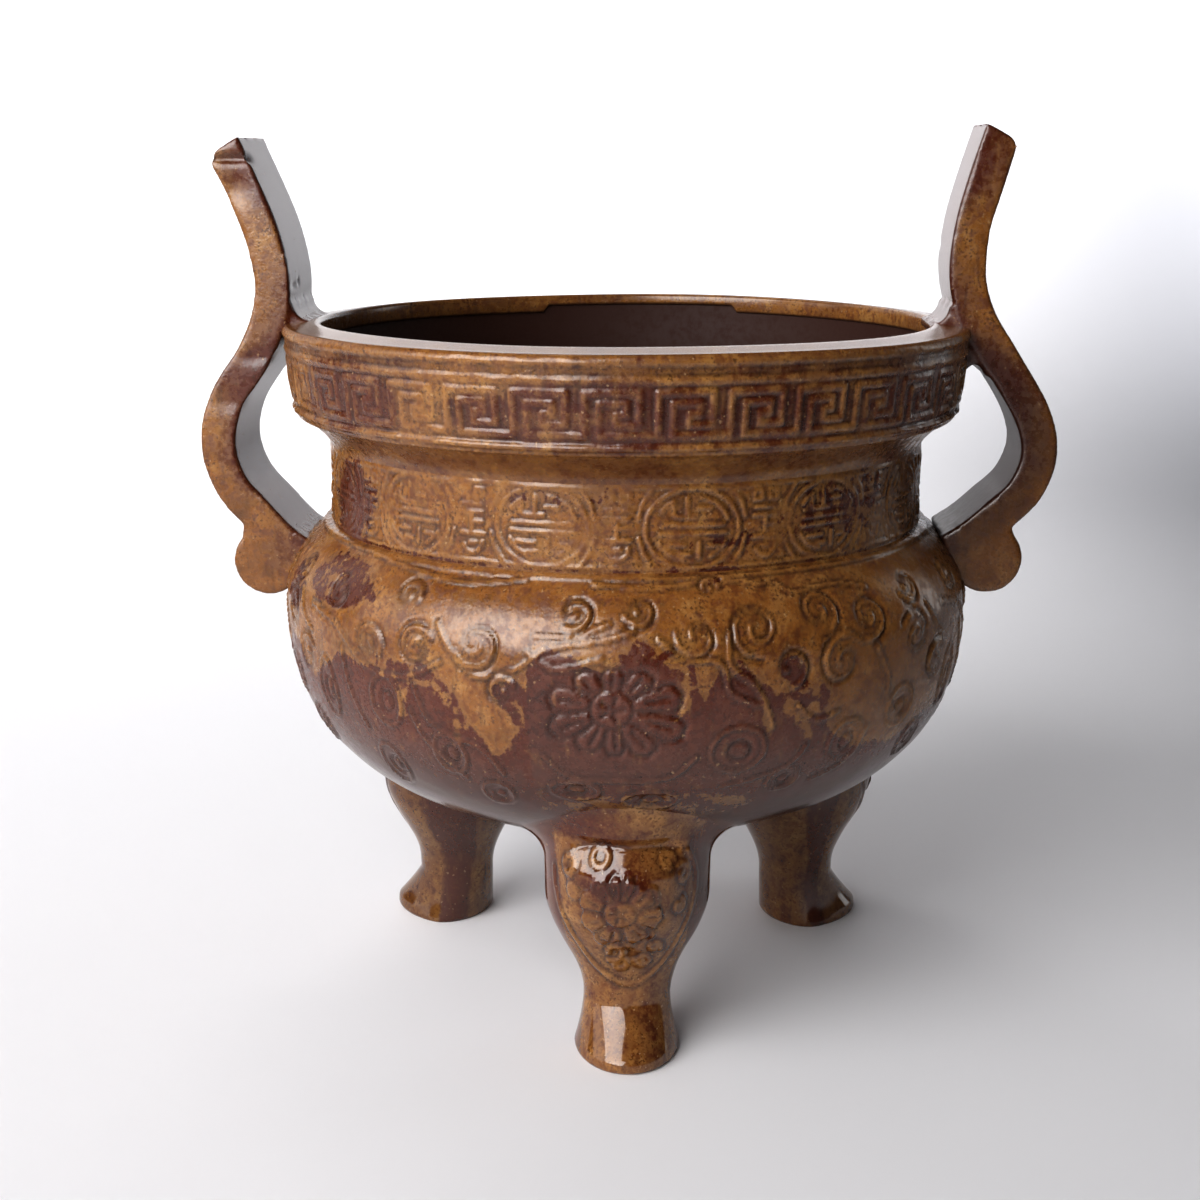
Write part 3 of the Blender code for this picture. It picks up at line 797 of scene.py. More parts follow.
        # Dark specks crowd where the coat is mottled; crystals are few and light
        speck = add(tree, RANGE, {0: fine, 1: 0.56, 2: 0.64}, **SMOOTH)
        crowd = add(tree, RANGE, {0: blotch, 1: 0.42, 2: 0.6}, **SMOOTH)
        crowd = add(tree, MATH, {0: pool, 1: 0.8, 2: crowd}, use_clamp=True, **TIMES_PLUS)
        specks = add(tree, MATH, {0: speck, 1: crowd}, **TIMES)
        lightened = add(tree, MATH, {0: coat, 1: 0.75, 2: 0.25}, **TIMES_PLUS)
        lightened = add(tree, MATH, {0: lightened, 1: raised}, **TIMES)
        glints = add(tree, RANGE, {0: crystals, 1: 0.69, 2: 0.75}, **SMOOTH)
        run = add(tree, RANGE, {0: streak, 1: 0.6, 2: 0.75}, **SMOOTH)
        dark_run = add(tree, RANGE, {0: streak, 1: 0.4, 2: 0.28}, **SMOOTH)
        # Painted shade mixes in the darkest brown here, after the pools and specks
        for share, most, code in (
                (hem, 0.75, self.hem), (crumbs, 0.3, self.ochre), (bead, 0.4, self.ochre_light),
                (run, 0.2, self.ochre_light), (dark_run, 0.3, self.maroon_dark),
                (lightened, 0.26, self.ochre_light), (pool, 0.62, self.pool_and_shade), (specks, 0.6, self.pool_and_shade),
                (glints, 0.5, self.crystal), (thick, 0.75, self.pool_and_shade), (inside, 1.0, self.bare_and_shade)):
            some = add(tree, MATH, {0: share, 1: most}, **TIMES)
            colour = add(tree, MIX, {0: some, 6: colour, 7: linear(code)}, 2, **COLOURS)
        # Glossy places are even; elsewhere the gloss comes and goes with the grain, and the inside is dull
        dull = add(tree, MATH, {0: glossy, 1: -0.4, 2: self.roughness + 0.13}, **TIMES_PLUS)
        dull = add(tree, MATH, {0: dull, 1: self.roughness - 0.07}, operation="MAXIMUM")
        gloss = add(tree, RANGE, {0: grain, 1: 0.35, 2: 0.7, 3: self.roughness - 0.07, 4: dull}, **SMOOTH)
        gloss = add(tree, MATH, {0: glossy, 1: -0.12, 2: gloss}, **TIMES_PLUS)
        gloss = add(tree, MATH, {0: inside, 1: 0.34, 2: gloss}, use_clamp=True, **TIMES_PLUS)
        # Orange peel and pores, flat where it is glossy, and a weaker reflection within
        skin = add(tree, MATH, {0: peel, 1: 0.8}, **TIMES)
        skin = add(tree, MATH, {0: pores, 1: 0.45, 2: skin}, **TIMES_PLUS)
        force = add(tree, MATH, {0: glossy, 1: -0.84, 2: 0.42}, **TIMES_PLUS)
        force = add(tree, MATH, {0: inside, 1: -0.9, 2: force}, use_clamp=True, **TIMES_PLUS)
        sheen = add(tree, MATH, {0: inside, 1: -0.34, 2: 0.62}, use_clamp=True, **TIMES_PLUS)
        bump = add(tree, "ShaderNodeBump", {"Strength": force, "Distance": self.peel_depth * MM,
                                              "Height": skin})
        shader = add(tree, "ShaderNodeBsdfPrincipled",
                     {"Base Color": colour, "Roughness": gloss, "Normal": bump, "Metallic": 0.0,
                      "IOR": self.ior, "Specular IOR Level": sheen})
        add(tree, "ShaderNodeOutputMaterial", {0: shader})
        return made

    @staticmethod
    def stops(node: Any, *stops: tuple[float, str]) -> None:
        """Set the colours of a ramp from dark to light.

        Args:
            node: Colour ramp.
            stops: Place and colour of each stop.
        """
        ramp = node.color_ramp
        while len(ramp.elements) < len(stops):
            ramp.elements.new(0.5)
        for element, (place, code) in zip(ramp.elements, stops):
            element.position = place
            element.color = linear(code)


def patch(azimuth: np.ndarray, height: np.ndarray, centre: Point, size: Point,
          soft: float = 1.0) -> np.ndarray:
    """Depth inside an oval patch, for places where one glaze covers the other.

    Args:
        azimuth: Azimuth of each point in degrees.
        height: Height of each point.
        centre: Azimuth and height of the patch.
        size: Half its width in degrees and half its height.
        soft: Depth in its middle over its half height.

    Returns:
        Positive inside the patch, in millimetres.
    """
    away = (azimuth - centre[0] + 180) % 360 - 180
    share = np.hypot(away / size[0], (height - centre[1]) / size[1])
    return (1 - share) * size[1] * soft


def finish_piece(piece: bpy.types.Object) -> None:
    """Attach a finished piece of the burner to its root and hide the imported part it replaces.

    Args:
        piece: The finished piece.
    """
    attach(piece, "root")
    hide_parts(NODE)
    log.info("%s: %d faces", piece.name, len(piece.data.polygons))


class Pressed:
    """A clay piece that gets a pattern pressed into it."""

    def carving(self) -> Carving:
        """Pattern of the piece, which each kind gives."""
        raise NotImplementedError

    def dress(self, piece: bpy.types.Object, tree: CarvingTree, glaze: bpy.types.Material) -> None:
        """Carve and glaze the piece.

        Args:
            piece: The piece before it is carved.
            tree: Carving tree.
            glaze: Its glaze.
        """
        tree.carve(piece, self.carving(), glaze)
        finish_piece(piece)


@dataclass
class Collar(Pressed):
    """Straight collar with its lip, cove and inner wall, carved with a key fret."""

    columns: int = 1240
    step: float = 0.5
    bead: float = 0.8
    lip_round: float = 1.4
    lip_rise: float = 1.0
    mouth_round: float = 1.2
    fret_count: int = 34
    fret_low: float = 178.9
    fret_height: float = 10.8
    fret_phase: float = -11.6
    frame_lines: tuple[float, ...] = (175.9, 192.6, 197.2)
    ridge: float = 1.7
    relief: float = 0.46
    trim: float = 2.2
    trimmed: Point = (155.0, 197.0)
    coat: float = 1.4

    # Maroon patches on the fret, by azimuth, half width in degrees and softness
    DARK = (
        (-6, 21, 0.75), (22, 9, 0.2), (-50, 12, 0.35), (52, 16, 0.3), (105, 25, 0.5), (170, 30, 0.6),
        (-120, 22, 0.5),
    )

    def rows(self) -> list[tuple[float, float, int]]:
        """Profile from the waist over the lip and down the inside."""
        form, fine = FORM, self.columns
        foot = form.collar_foot
        base = form.collar_radius(foot)
        cove = []
        for step in range(13):
            share = step / 12
            reach = form.waist_radius + (base - 2 * self.bead - form.waist_radius) * share ** 1.5
            cove.append((reach, form.waist_top + form.cove_height * share))
        outer = [cove[-1], (base - 0.5, foot + 0.1), (base, foot + self.bead)]
        bead_top = foot + 3 * self.bead
        outer += [(base + 0.35, bead_top - self.bead), (base + self.bead * 0.9, bead_top),
                  (base + 0.35, bead_top + self.bead)]
        for share in (0.22, 0.4, 0.6, 0.8):
            height = foot + (form.rim_top - foot) * share
            outer.append((form.collar_radius(height), height))
        outer.append((form.rim_radius, form.rim_top - self.lip_round))
        rows = [(r, z, fine) for r, z in resample(cove, 1.0)]
        rows += [(r, z, fine) for r, z in resample(outer, self.step)[1:]]
        for turn in (25, 50, 75, 90):
            angle = radians(turn)
            rows.append((form.rim_radius - self.lip_round * (1 - cos(angle)),
                         form.rim_top - self.lip_round * (1 - sin(angle)), fine))
        mouth = form.rim_radius - form.lip_width
        top = form.rim_top + self.lip_rise
        ledge = form.rim_top - form.lip_depth
        inner_wall = form.rim_radius - form.taper - form.collar_wall
        crest = (form.rim_radius - self.lip_round - 0.8, form.rim_top + 0.05)
        lip = resample([crest, (mouth + self.mouth_round, top)], 1.4)
        rows += [(r, z, fine // 2) for r, z in lip]
        for turn in (30, 60, 90):
            angle = radians(turn)
            rows.append((mouth + self.mouth_round - self.mouth_round * sin(angle),
                         top - self.mouth_round * (1 - cos(angle)), fine // 2))
        rows += [(mouth, z, fine // 4) for z in (top - 2.4, ledge + 1.0)]
        rows += [(mouth + 0.25, ledge + 0.3, fine // 4), (mouth + 0.9, ledge, fine // 4)]
        inside = [(mouth + 0.9, ledge), (max(inner_wall, mouth + 1.0), ledge - 1.0)]
        inside += [(inner_wall - 1.0, foot + 4), (form.waist_radius - form.wall + 4, form.waist_top + 4)]
        inside += [(form.waist_radius - form.wall, form.waist_top)]
        rows += [(r, z, fine // 4) for r, z in resample(inside, 2.5)[1:]]
        gap = form.wall / 3
        rows.append((form.waist_radius - 2 * gap, form.waist_top, fine // 4))
        rows.append((form.waist_radius - gap, form.waist_top, fine // 2))
        return rows

    def fret(self) -> list[Line]:
        """One step of the key fret with its frame lines, from its outer upright."""
        pitch = 2 * pi * FORM.rim_radius / self.fret_count
        unit = [(0, 0), (0, 1), (.74, 1), (.74, .25), (.42, .25), (.42, .5), (.56, .5), (.56, .75), (.2, .75),
                (.2, 0), (1, 0)]
        key = [(u * pitch, self.fret_low + v * self.fret_height) for u, v in unit]
        return [key] + [[(0.0, height), (pitch, height)] for height in self.frame_lines]

    def build(self) -> bpy.types.Object:
        """Throw the collar.

        Returns:
            The collar before it is carved.
        """
        rows = self.rows()
        made = turned(rows)
        azimuth, height, radius = made["azimuth"], made["height"], made["radius"]
        outside = (radius > FORM.rim_radius - FORM.taper - 1.8) & (height > FORM.collar_foot)
        press = smooth_share(height, FORM.collar_foot + 0.6, FORM.collar_foot + 2.0)
        press *= smooth_share(height, FORM.rim_top - 0.8, FORM.rim_top - 1.8) * outside
        # Where the far side of the lip was trimmed, its inner edge hangs less deep
        ledge = FORM.rim_top - FORM.lip_depth
        near_edge = (np.abs(height - ledge) < 1.05) & (radius < FORM.rim_radius - FORM.lip_width + 3.0)
        degree = np.degrees(azimuth) % 360
        start, end = self.trimmed
        trimmed = smooth_share(degree, start - 0.4, start + 0.4)
        trimmed *= smooth_share(degree, end + 0.5, end - 0.5)
        made["points"][:, 2] += np.where(near_edge, self.trim * trimmed, 0.0)
        piece = Skin(made["points"], made["faces"], azimuth * FORM.rim_radius, height)
        piece.values = {"press": press, **self.glazed(np.degrees(azimuth), height, radius)}
        return piece.to_object("collar")

    def glazed(self, azimuth: np.ndarray, height: np.ndarray, radius: np.ndarray) -> dict[str, np.ndarray]:
        """Painted values of the collar's glaze.

        Args:
            azimuth: Azimuth of each point in degrees.
            height: Height of each point.
            radius: Radius of each point.

        Returns:
            Values by the names that the glaze reads.
        """
        coat = np.full(azimuth.shape, self.coat)
        fret_middle = self.fret_low + self.fret_height * 0.45
        for centre, half, soft in self.DARK:
            spot = patch(azimuth, height, (centre, fret_middle), (half, 8.6), soft)
            coat = np.minimum(coat, -np.clip(spot * 0.9, -self.coat, 0.5))
        lip = smooth_share(height, FORM.rim_top - 0.6, FORM.rim_top)
        on_lip = (radius < FORM.rim_radius + 0.1) & (radius > FORM.rim_radius - FORM.lip_width - 0.1)
        coat = coat * (1 - lip * on_lip) + 1.5 * lip * on_lip
        inner = radius < np.where(height < FORM.collar_foot + 0.5, FORM.waist_radius - 0.6,
                                  FORM.rim_radius - FORM.lip_width + 2)
        ledge = FORM.rim_top - FORM.lip_depth
        inside = smooth_share(height, ledge + 1.4, ledge)
        # Painted shade: the cove under the collar's foot gets less ochre, so darker glaze, with some mauve
        under = smooth_share(height, FORM.collar_foot + 0.2, FORM.collar_foot - 3.0) * (~inner)
        return {
            "ochre": coat - 0.9 * under,
            "inside": inside * inner + 0.16 * lip * on_lip,
            "mauve": 0.2 * lip * on_lip + 0.15 * under,
            "soft": 0.5 + 0.3 * lip * on_lip + 0.4 * under,
            "glossy": 0.6 * lip * on_lip,
        }

    def carving(self) -> Carving:
        """Key fret with a soft swell under it."""
        pitch = 2 * pi * FORM.rim_radius / self.fret_count
        swell = [(0.0, self.fret_low - 3.2), (pitch, self.fret_low - 3.2)]
        return Carving(self.fret(), [swell], self.fret_count + SPARE, pitch, self.fret_phase, self.ridge,
                       self.relief, mound_reach=1.2, mound_relief=0.1, wander=0.3)


@dataclass
class Waist(Pressed):
    """Broad waist with rings and barred panels between them."""

    columns: int = 1120
    step: float = 0.5
    count: int = 14
    phase: float = -15.1
    ring_radius: float = 12.3
    ring_height: float = 10.5
    hollow: float = 0.15
    ridge: float = 1.05
    relief: float = 0.34

    # Patches where the coat is thin, by azimuth and height, half size and softness
    THIN = (
        ((40, 156), (22, 14), 0.16), ((16, 150), (9, 5), 0.3), ((-62, 154), (12, 16), 0.3),
        ((-14, 161), (12, 5), 0.3), ((120, 154), (30, 14), 0.3), ((-150, 152), (26, 12), 0.35),
    )

    def rows(self) -> list[tuple[float, float, int]]:
        """Profile from the shoulder up the outside and down the inside."""
        form, fine = FORM, self.columns
        reach, low, top = form.waist_radius, form.shoulder, form.waist_top
        outer = [(reach, low), (reach, low + 1.0), (reach - self.hollow, low + 6),
                 (reach - self.hollow, top - 6), (reach, top)]
        inner = reach - form.wall
        gap = form.wall / 3
        rows = [(r, z, fine) for r, z in resample(outer, self.step)]
        rows += [(reach - gap, top, fine // 2), (reach - 2 * gap, top, fine // 4)]
        rows += [(inner, z, fine // 4) for z in np.linspace(top, low, 6)]
        rows += [(reach - 2 * gap, low, fine // 4), (reach - gap, low, fine // 2)]
        return rows

    def pattern(self) -> list[Line]:
        """One ring and one panel, with the band's edges; strokes that are no letters."""
        middle = (FORM.shoulder + FORM.waist_top) / 2
        pitch = 2 * pi * FORM.waist_radius / self.count
        high = self.ring_height / self.ring_radius
        lines = [ring((0.0, middle), self.ring_radius, high, 40)]
        lines += [[(u, middle + v * high) for u, v in spiral((0.0, 0.0), 9.6, 9.6, start, sweep)]
                  for start, sweep in ((18, 58), (205, 50), (-62, 34), (122, 26))]
        strokes = [((-7.8, 0.9), (8.2, 0.9)), ((-8.4, -1.3), (8.6, -1.3)), ((-1.6, 8.0), (-1.6, 2.6)),
                   ((-5.2, 6.6), (-5.2, 3.6)), ((1.2, 5.2), (4.6, 5.2)), ((-4.4, 3.0), (0.6, 3.0)),
                   ((1.6, -3.8), (1.6, -7.4)), ((4.0, -4.6), (6.6, -4.6)), ((-6.6, -4.2), (-2.0, -4.2)),
                   ((-3.8, -6.6), (-0.6, -6.6))]
        lines += [[(u, middle + v) for u, v in stroke] for stroke in strokes]
        side = pitch / 2
        panel: list[Line] = [
            [(-9.2, 10.4), (-6.6, 6.4), (-5.6, 2.6)], [(9.2, 10.4), (6.6, 6.4), (5.6, 2.6)],
            [(-5.7, -2.4), (-6.6, -6.0), (-9.2, -10.0)], [(5.7, -2.4), (6.6, -6.0), (9.2, -10.0)],
            [(-3.2, 9.0), (-1.0, 9.0), (-1.0, 7.0), (-3.2, 7.0), (-3.2, 9.0)],
            [(1.2, 9.0), (3.4, 9.0), (3.4, 7.0), (1.2, 7.0), (1.2, 9.0)],
            [(-2.8, 4.8), (2.8, 4.8)], [(-3.2, 2.6), (3.2, 2.6)], [(0.0, 2.6), (0.0, -3.0)],
            [(0.9, 0.2), (3.0, 0.2)], [(-3.4, -3.0), (3.4, -3.0)],
            [(-2.6, -6.0), (-1.4, -7.8), (0.8, -8.2), (2.8, -6.6), (3.0, -5.0)], [(-0.8, -5.4), (1.0, -5.4)],
        ]
        lines += [[(side + u, middle + v) for u, v in line] for line in panel]
        low, high = FORM.shoulder + 1.3, FORM.waist_top - 0.9
        lines += [[(0.0, low), (pitch, low)]]
        wavy = [(0.0, high), (pitch * 0.3, high - 0.4), (pitch * 0.6, high + 0.25), (pitch, high)]
        lines += [bent(wavy, 4)]
        return lines

    def build(self) -> bpy.types.Object:
        """Throw the waist.

        Returns:
            The waist before it is carved.
        """
        made = turned(self.rows())
        azimuth, height, radius = made["azimuth"], made["height"], made["radius"]
        outside = radius > FORM.waist_radius - 1.0
        press = smooth_share(height, FORM.shoulder, FORM.shoulder + 0.9)
        press *= smooth_share(height, FORM.waist_top, FORM.waist_top - 0.9) * outside
        piece = Skin(made["points"], made["faces"], azimuth * FORM.waist_radius, height)
        degree = np.degrees(azimuth)
        coat = np.full(degree.shape, 2.0)
        for centre, size, soft in self.THIN:
            coat = np.minimum(coat, 2.0 - 1.4 * np.clip(patch(degree, height, centre, size, soft), 0.0, 3.0))
        coat -= 1.8 * smooth_share(height, FORM.shoulder + 2.4, FORM.shoulder + 0.6)
        inner = radius < FORM.waist_radius - FORM.wall + 0.5
        piece.values = {"press": press, "ochre": coat, "inside": inner * 1.0}
        return piece.to_object("waist")

    def carving(self) -> Carving:
        """Rings and panels, each on a soft mound."""
        pitch = 2 * pi * FORM.waist_radius / self.count
        phase = radians(self.phase) * FORM.waist_radius
        middle = (FORM.shoulder + FORM.waist_top) / 2
        mounds = [ring((0.0, middle), 6.0), [(pitch / 2, middle - 7), (pitch / 2, middle + 7)]]
        return Carving(self.pattern(), mounds, self.count + SPARE, pitch, phase, self.ridge, self.relief,
                       mound_reach=6.0, mound_relief=0.2, worn_to=0.25)


@dataclass
class Belly(Pressed):
    """Round belly with its inside, carved with a scrolling vine and blossoms."""

    columns: int = 800
    step: float = 0.86
    crowd: float = 0.3
    carved_to: float = 72.0
    ridge: float = 1.1
    relief: float = 0.5
    groove: float = 0.95
    depth: float = 0.8
    bead: float = 0.008
    bead_drop: float = 2.0
    bead_width: float = 0.95
    coat_depth: float = 14.0

    # Curls by the azimuth and height of their eye, radius, start and sweep in degrees
    CURLS = (
        ((-23, 124.7), 6.6, -160, 520), ((-8.3, 134), 5, -120, 430), ((1.5, 134.6), 4.6, 200, 380),
        ((9.7, 128.5), 5.6, 170, 400), ((18.9, 129.4), 7.2, 250, -500), ((29.6, 132), 6.2, -60, 470),
        ((39, 128.7), 6.4, -110, 480), ((33.2, 118.5), 7, 60, 520), ((23.8, 119), 5.8, -80, 320),
        ((-19.1, 112.8), 4.2, 30, 360), ((-33.5, 122), 5.8, 30, 480), ((-43.5, 120.5), 5.6, -30, 460),
        ((-52.5, 131), 5, 100, 420), ((-37, 134.5), 4.4, -20, 380), ((50, 120.5), 6.4, 120, -460),
        ((50.5, 133.5), 5, 200, 400), ((57.5, 110), 6, 40, 430), ((12.5, 139.2), 3.2, 0, 330),
    )
    # Ovals by the azimuth and height of their middle, radius, and height over width
    OVALS = (
        ((-8.7, 85.6), 7, 0.5), ((3.4, 82.4), 8, 0.45), ((-40.2, 105.2), 5.6, 1.3), ((-43, 84.5), 5, 1.5),
        ((35.9, 94.9), 6, 1.1), ((47.5, 101), 6, 1), ((-55.6, 103), 4.6, 1.9), ((16.4, 97.2), 7.6, 0.9),
        ((-29, 93), 5.2, 1.2), ((25.5, 86), 5, 0.8), ((-22, 82), 5, 0.9), ((55, 88), 5, 1.2),
    )
    # Petals of the blossom, each from one angle to the next, with its reach
    PETALS = (
        (150, 185, 16.6), (189, 222, 17.6), (226, 257, 15.6), (261, 286, 15.4), (290, 318, 18.2),
        (322, 352, 20.4), (357, 389, 18.6), (34, 66, 14.6), (71, 104, 12.8), (109, 145, 13.8),
    )
    # Stems of the vine, by azimuth and height
    STEMS = (
        ((-60, 126), (-52, 123), (-44, 114), (-36, 113), (-29, 119)),
        ((-30, 129), (-24, 117), (-17, 119), (-12, 125), (-4.5, 127.5), (0.5, 130)),
        ((-15, 124), (-11, 120), (-4, 123)), ((-14, 128), (-8, 128.6), (-3, 131.5)),
        ((4, 128), (8, 123), (13, 121.5), (15, 113), (20, 109)),
        ((14.6, 129), (14.4, 121), (18, 115.5), (20, 110), (21.5, 103)),
        ((24, 139), (27, 136.5), (34, 137.5), (41, 135.5)), ((30, 125), (33.5, 126), (37, 122.5)),
        ((-50, 141), (-40, 139.8), (-28, 138.5), (-17, 140.4)),
        ((-6, 140), (4, 139.2), (14, 140.6), (22, 139)), ((40, 121), (43, 112), (44, 104), (50, 95)),
        ((25.5, 108), (29, 103), (33, 104.5)), ((-50, 117), (-48.5, 106), (-46, 95)),
        ((-35, 104), (-33, 96), (-27, 86)), ((-34, 111), (-31, 101), (-23, 96), (-20, 89)),
        ((28, 96), (25, 90), (15, 86)), ((-13, 96), (-9, 90), (-1, 89), (6, 90), (10, 96)),
        ((40, 98), (38, 89), (31, 84)), ((54, 128), (57, 121), (60, 118)),
    )
    # Lower edge of the ochre coat, by azimuth and height, all the way round
    COAT = (
        (-66.9, 111.9), (-60.9, 104.1), (-56, 108), (-51.5, 113.6), (-48.8, 114.6), (-45.8, 113),
        (-42.4, 113.3), (-41.4, 115.5), (-39.9, 111), (-38.9, 116.4), (-34.5, 117), (-31.9, 117.8),
        (-29.1, 114.7), (-26.4, 111.2), (-24.5, 103.3), (-22.9, 99.7), (-21.4, 95.6), (-20.1, 94),
        (-18, 97.5), (-16.4, 101), (-15.6, 104.1), (-15.2, 111.5), (-14.8, 120), (-13, 123.5),
        (-11.9, 125.5), (-7.8, 123.6), (-6, 120.8), (-4.2, 119.6), (-2.2, 121), (-0.8, 123.6), (0.4, 126.8),
        (2.5, 124.6), (5.1, 122.9), (5.6, 120.6), (7.2, 121), (9, 120.1), (9.9, 114.8), (10.8, 112.3),
        (11.7, 114.1), (12.5, 118.2), (14.8, 116.9), (16.6, 118.2), (19.4, 116.2), (21.6, 111.8),
        (24.9, 111.6), (27.6, 111), (29, 108.7), (32.3, 98.3), (38.4, 92.8), (46.9, 90.5), (55.4, 93.3),
        (64, 96), (70, 104), (78, 99), (84, 90), (90, 97), (101, 108), (108, 111), (115, 98), (121, 90),
        (127, 103), (138, 112), (146, 109), (155, 96), (161, 103), (171, 114), (-178, 112), (-170, 101),
        (-163, 94), (-156, 106), (-144, 115), (-134, 110), (-127, 97), (-121, 92), (-114, 104), (-102, 114),
        (-94, 109), (-87, 98), (-80, 103), (-73, 113),
    )
    # Runs that hang from the coat's edge, and holes in it: middle line by azimuth and height, and width
    RUNS = (
        (((-38.4, 116.5), (-37, 110.5), (-36.4, 106)), 1.2), (((-36.5, 107), (-36.7, 102.2)), 2.4),
        (((-34.5, 117.5), (-34.9, 111.2), (-36, 107.6)), 1.1),
        (((-34.7, 113.7), (-33.4, 112.4), (-30.4, 112.5), (-28.4, 109), (-27, 106.5)), 1),
        (((-27, 108.2), (-26.8, 102.4), (-25, 101.8), (-24, 106)), 1.3),
        (((8.1, 123.3), (8.4, 114.9), (7.8, 111.8)), 1.5), (((8.2, 112.4), (7.1, 107.2)), 1),
        (((18.1, 118), (19.4, 113.5), (20.8, 106.2)), 1.2), (((20.9, 106.4), (21, 102.4)), 1.8),
        (((24.3, 108.2), (26.9, 105.6), (29, 107)), 4.6), (((26.7, 104.6), (28.3, 98.8)), 2.4),
        (((-113, 106), (-112, 96)), 1.8), (((-150, 110), (-149.5, 99)), 1.6),
        (((141, 111), (141.8, 101)), 1.7), (((96, 104), (96.5, 93)), 1.6),
    )
    HOLES = (
        (((-25.5, 104.6),), 1.5), (((24.2, 118), (24.6, 117)), 5.6),
        (((25.6, 115.6), (26.2, 113.6)), 2.2), (((29.9, 112.4), (30.5, 101.7)), 2),
        (((-19.5, 113.4), (-18.6, 110.4)), 1.6), (((-18, 109), (-16.8, 106)), 2.6),
        (((-17.4, 114), (-16, 112)), 3), (((1.9, 127.4), (2.6, 125)), 2.2),
        (((5.6, 124.2), (4.4, 122.6)), 2), (((16, 121.6), (17, 118.8)), 1.6),
    )
    # Patches where the coat is thin, by azimuth and height, half size and softness
    THIN = (
        ((-55, 133), (12, 8), 1.5), ((-44, 131.5), (7, 4), 0.8), ((14, 140.5), (9, 2.6), 1.1),
        ((30, 139), (12, 2.6), 0.9), ((-70, 128), (7, 12), 0.6), ((150, 134), (26, 6), 0.6),
        ((-130, 132), (20, 6), 0.7), ((80, 132), (14, 9), 0.6),
    )

    def coat_edge(self, azimuth: np.ndarray, height: np.ndarray) -> np.ndarray:
        """Distance inside the ochre coat in millimetres, negative below its edge.

        Args:
            azimuth: Azimuth of each point in degrees.
            height: Height of each point.

        Returns:
            The distance of each point.
        """
        per_degree = FORM.belly_radius * pi / 180
        at, edge = zip(*sorted(self.COAT))
        low, beside = (np.interp(azimuth + step, at, edge, period=360) for step in (0.0, 1.0))
        steep = np.hypot(1.0, (beside - low) / per_degree)
        inside = np.clip((height - low) / steep, -self.coat_depth, self.coat_depth)
        for kind, join, way in ((self.RUNS, np.maximum, 1), (self.HOLES, np.minimum, -1)):
            for spots, width in kind:
                drawn = [(u * per_degree, v) for u, v in spots]
                away = segment_distance(azimuth * per_degree, height, drawn)
                inside = join(inside, way * (width / 2 - away))
        return inside

    def outer_line(self) -> np.ndarray:
        """Radius and height along the outer face, with even steps."""
        return resample(FORM.belly_line(0.0), self.step)

    def rows(self) -> list[tuple[float, float, int]]:
        """Profile from the shoulder down the outside, and up the hollow."""
        fine = self.columns
        rows: list[tuple[float, float, int]] = []
        coarse_from = None
        line = self.outer_line()
        for index, (reach, height) in enumerate(line[:-1]):
            if height > self.carved_to:
                rows.append((reach, height, fine))
                continue
            coarse_from = coarse_from or index
            past = index - coarse_from
            if past % 3 == 0:
                rows.append((reach, height, fine // (2 if reach > 52 else 4 if reach > 26 else 8)))
        rows = self.step_down(rows)
        rows.append((0.0, FORM.floor_clearance, 1))
        hollow = resample(FORM.belly_line(FORM.wall), 4.5)[::-1]
        neck = (FORM.waist_radius - FORM.wall, FORM.shoulder)
        rows.append((0.0, float(hollow[0][1]), 1))
        inner = [(r, z, fine // (8 if r < 26 else 4)) for r, z in hollow[1:] if r > 6]
        rows += inner + [(neck[0], neck[1], fine // 4)]
        gap = FORM.wall / 3
        rows.append((FORM.waist_radius - 2 * gap, FORM.shoulder, fine // 4))
        rows.append((FORM.waist_radius - gap, FORM.shoulder, fine // 2))
        return rows

    @staticmethod
    def step_down(rows: list[tuple[float, float, int]]) -> list[tuple[float, float, int]]:
        """Let the number of columns fall by half at most from one row to the next.

        Args:
            rows: Radius, height and number of columns of each row.

        Returns:
            The rows with their numbers mended.
        """
        kept = [rows[0]]
        for reach, height, columns in rows[1:]:
            kept.append((reach, height, max(columns, kept[-1][2] // 2)))
        return kept

    def arc(self, height: np.ndarray) -> np.ndarray:
        """Length along the outer face below the shoulder, for a height on it."""
        line = self.outer_line()
        length = np.concatenate(([0.0], np.cumsum(np.hypot(*np.diff(line, axis=0).T))))
        return np.interp(-np.asarray(height, dtype=float), -line[:, 1], -length)

    def spot(self, place: Point) -> Point:
        """Flat place of an azimuth and a height on the belly."""
        return radians(place[0]) * FORM.belly_radius, float(self.arc(np.array([place[1]]))[0])

    def blossom(self, place: Point) -> list[Line]:
        """Open flower with a beaded heart, veined petals and a lobed edge.

        Args:
            place: Azimuth and height of its heart.

        Returns:
            Its lines.
        """
        u, v = self.spot(place)
        lines = [ring((u, v), 5.6, 0.94, 26)]
        lines += [[(u + 1.2 * cos(turn), v + 1.1 * sin(turn)), (u + 3.4 * cos(turn), v + 3.2 * sin(turn))]
                  for turn in (2 * pi * bead / 5 for bead in range(5))]
        for low, high, reach in self.PETALS:
            edge = []
            for step in range(9):
                turn = radians(low + (high - low) * step / 8)
                bulge = reach * (1 - 0.16 * abs(step / 4 - 1) ** 2.4 + 0.02 * sin(step * 2.1 + low))
                edge.append((u + bulge * cos(turn), v + 0.86 * bulge * sin(turn)))
            near = [(u + 6.6 * cos(radians(turn)), v + 6.0 * sin(radians(turn))) for turn in (low, high)]
            lines.append([near[0], *edge, near[1]])
            turn = radians(low + (high - low) * 0.55)
            lines.append([(u + reach * part * cos(turn), v + 0.86 * reach * part * sin(turn))
                          for part in (0.5, 0.82)])
        return lines

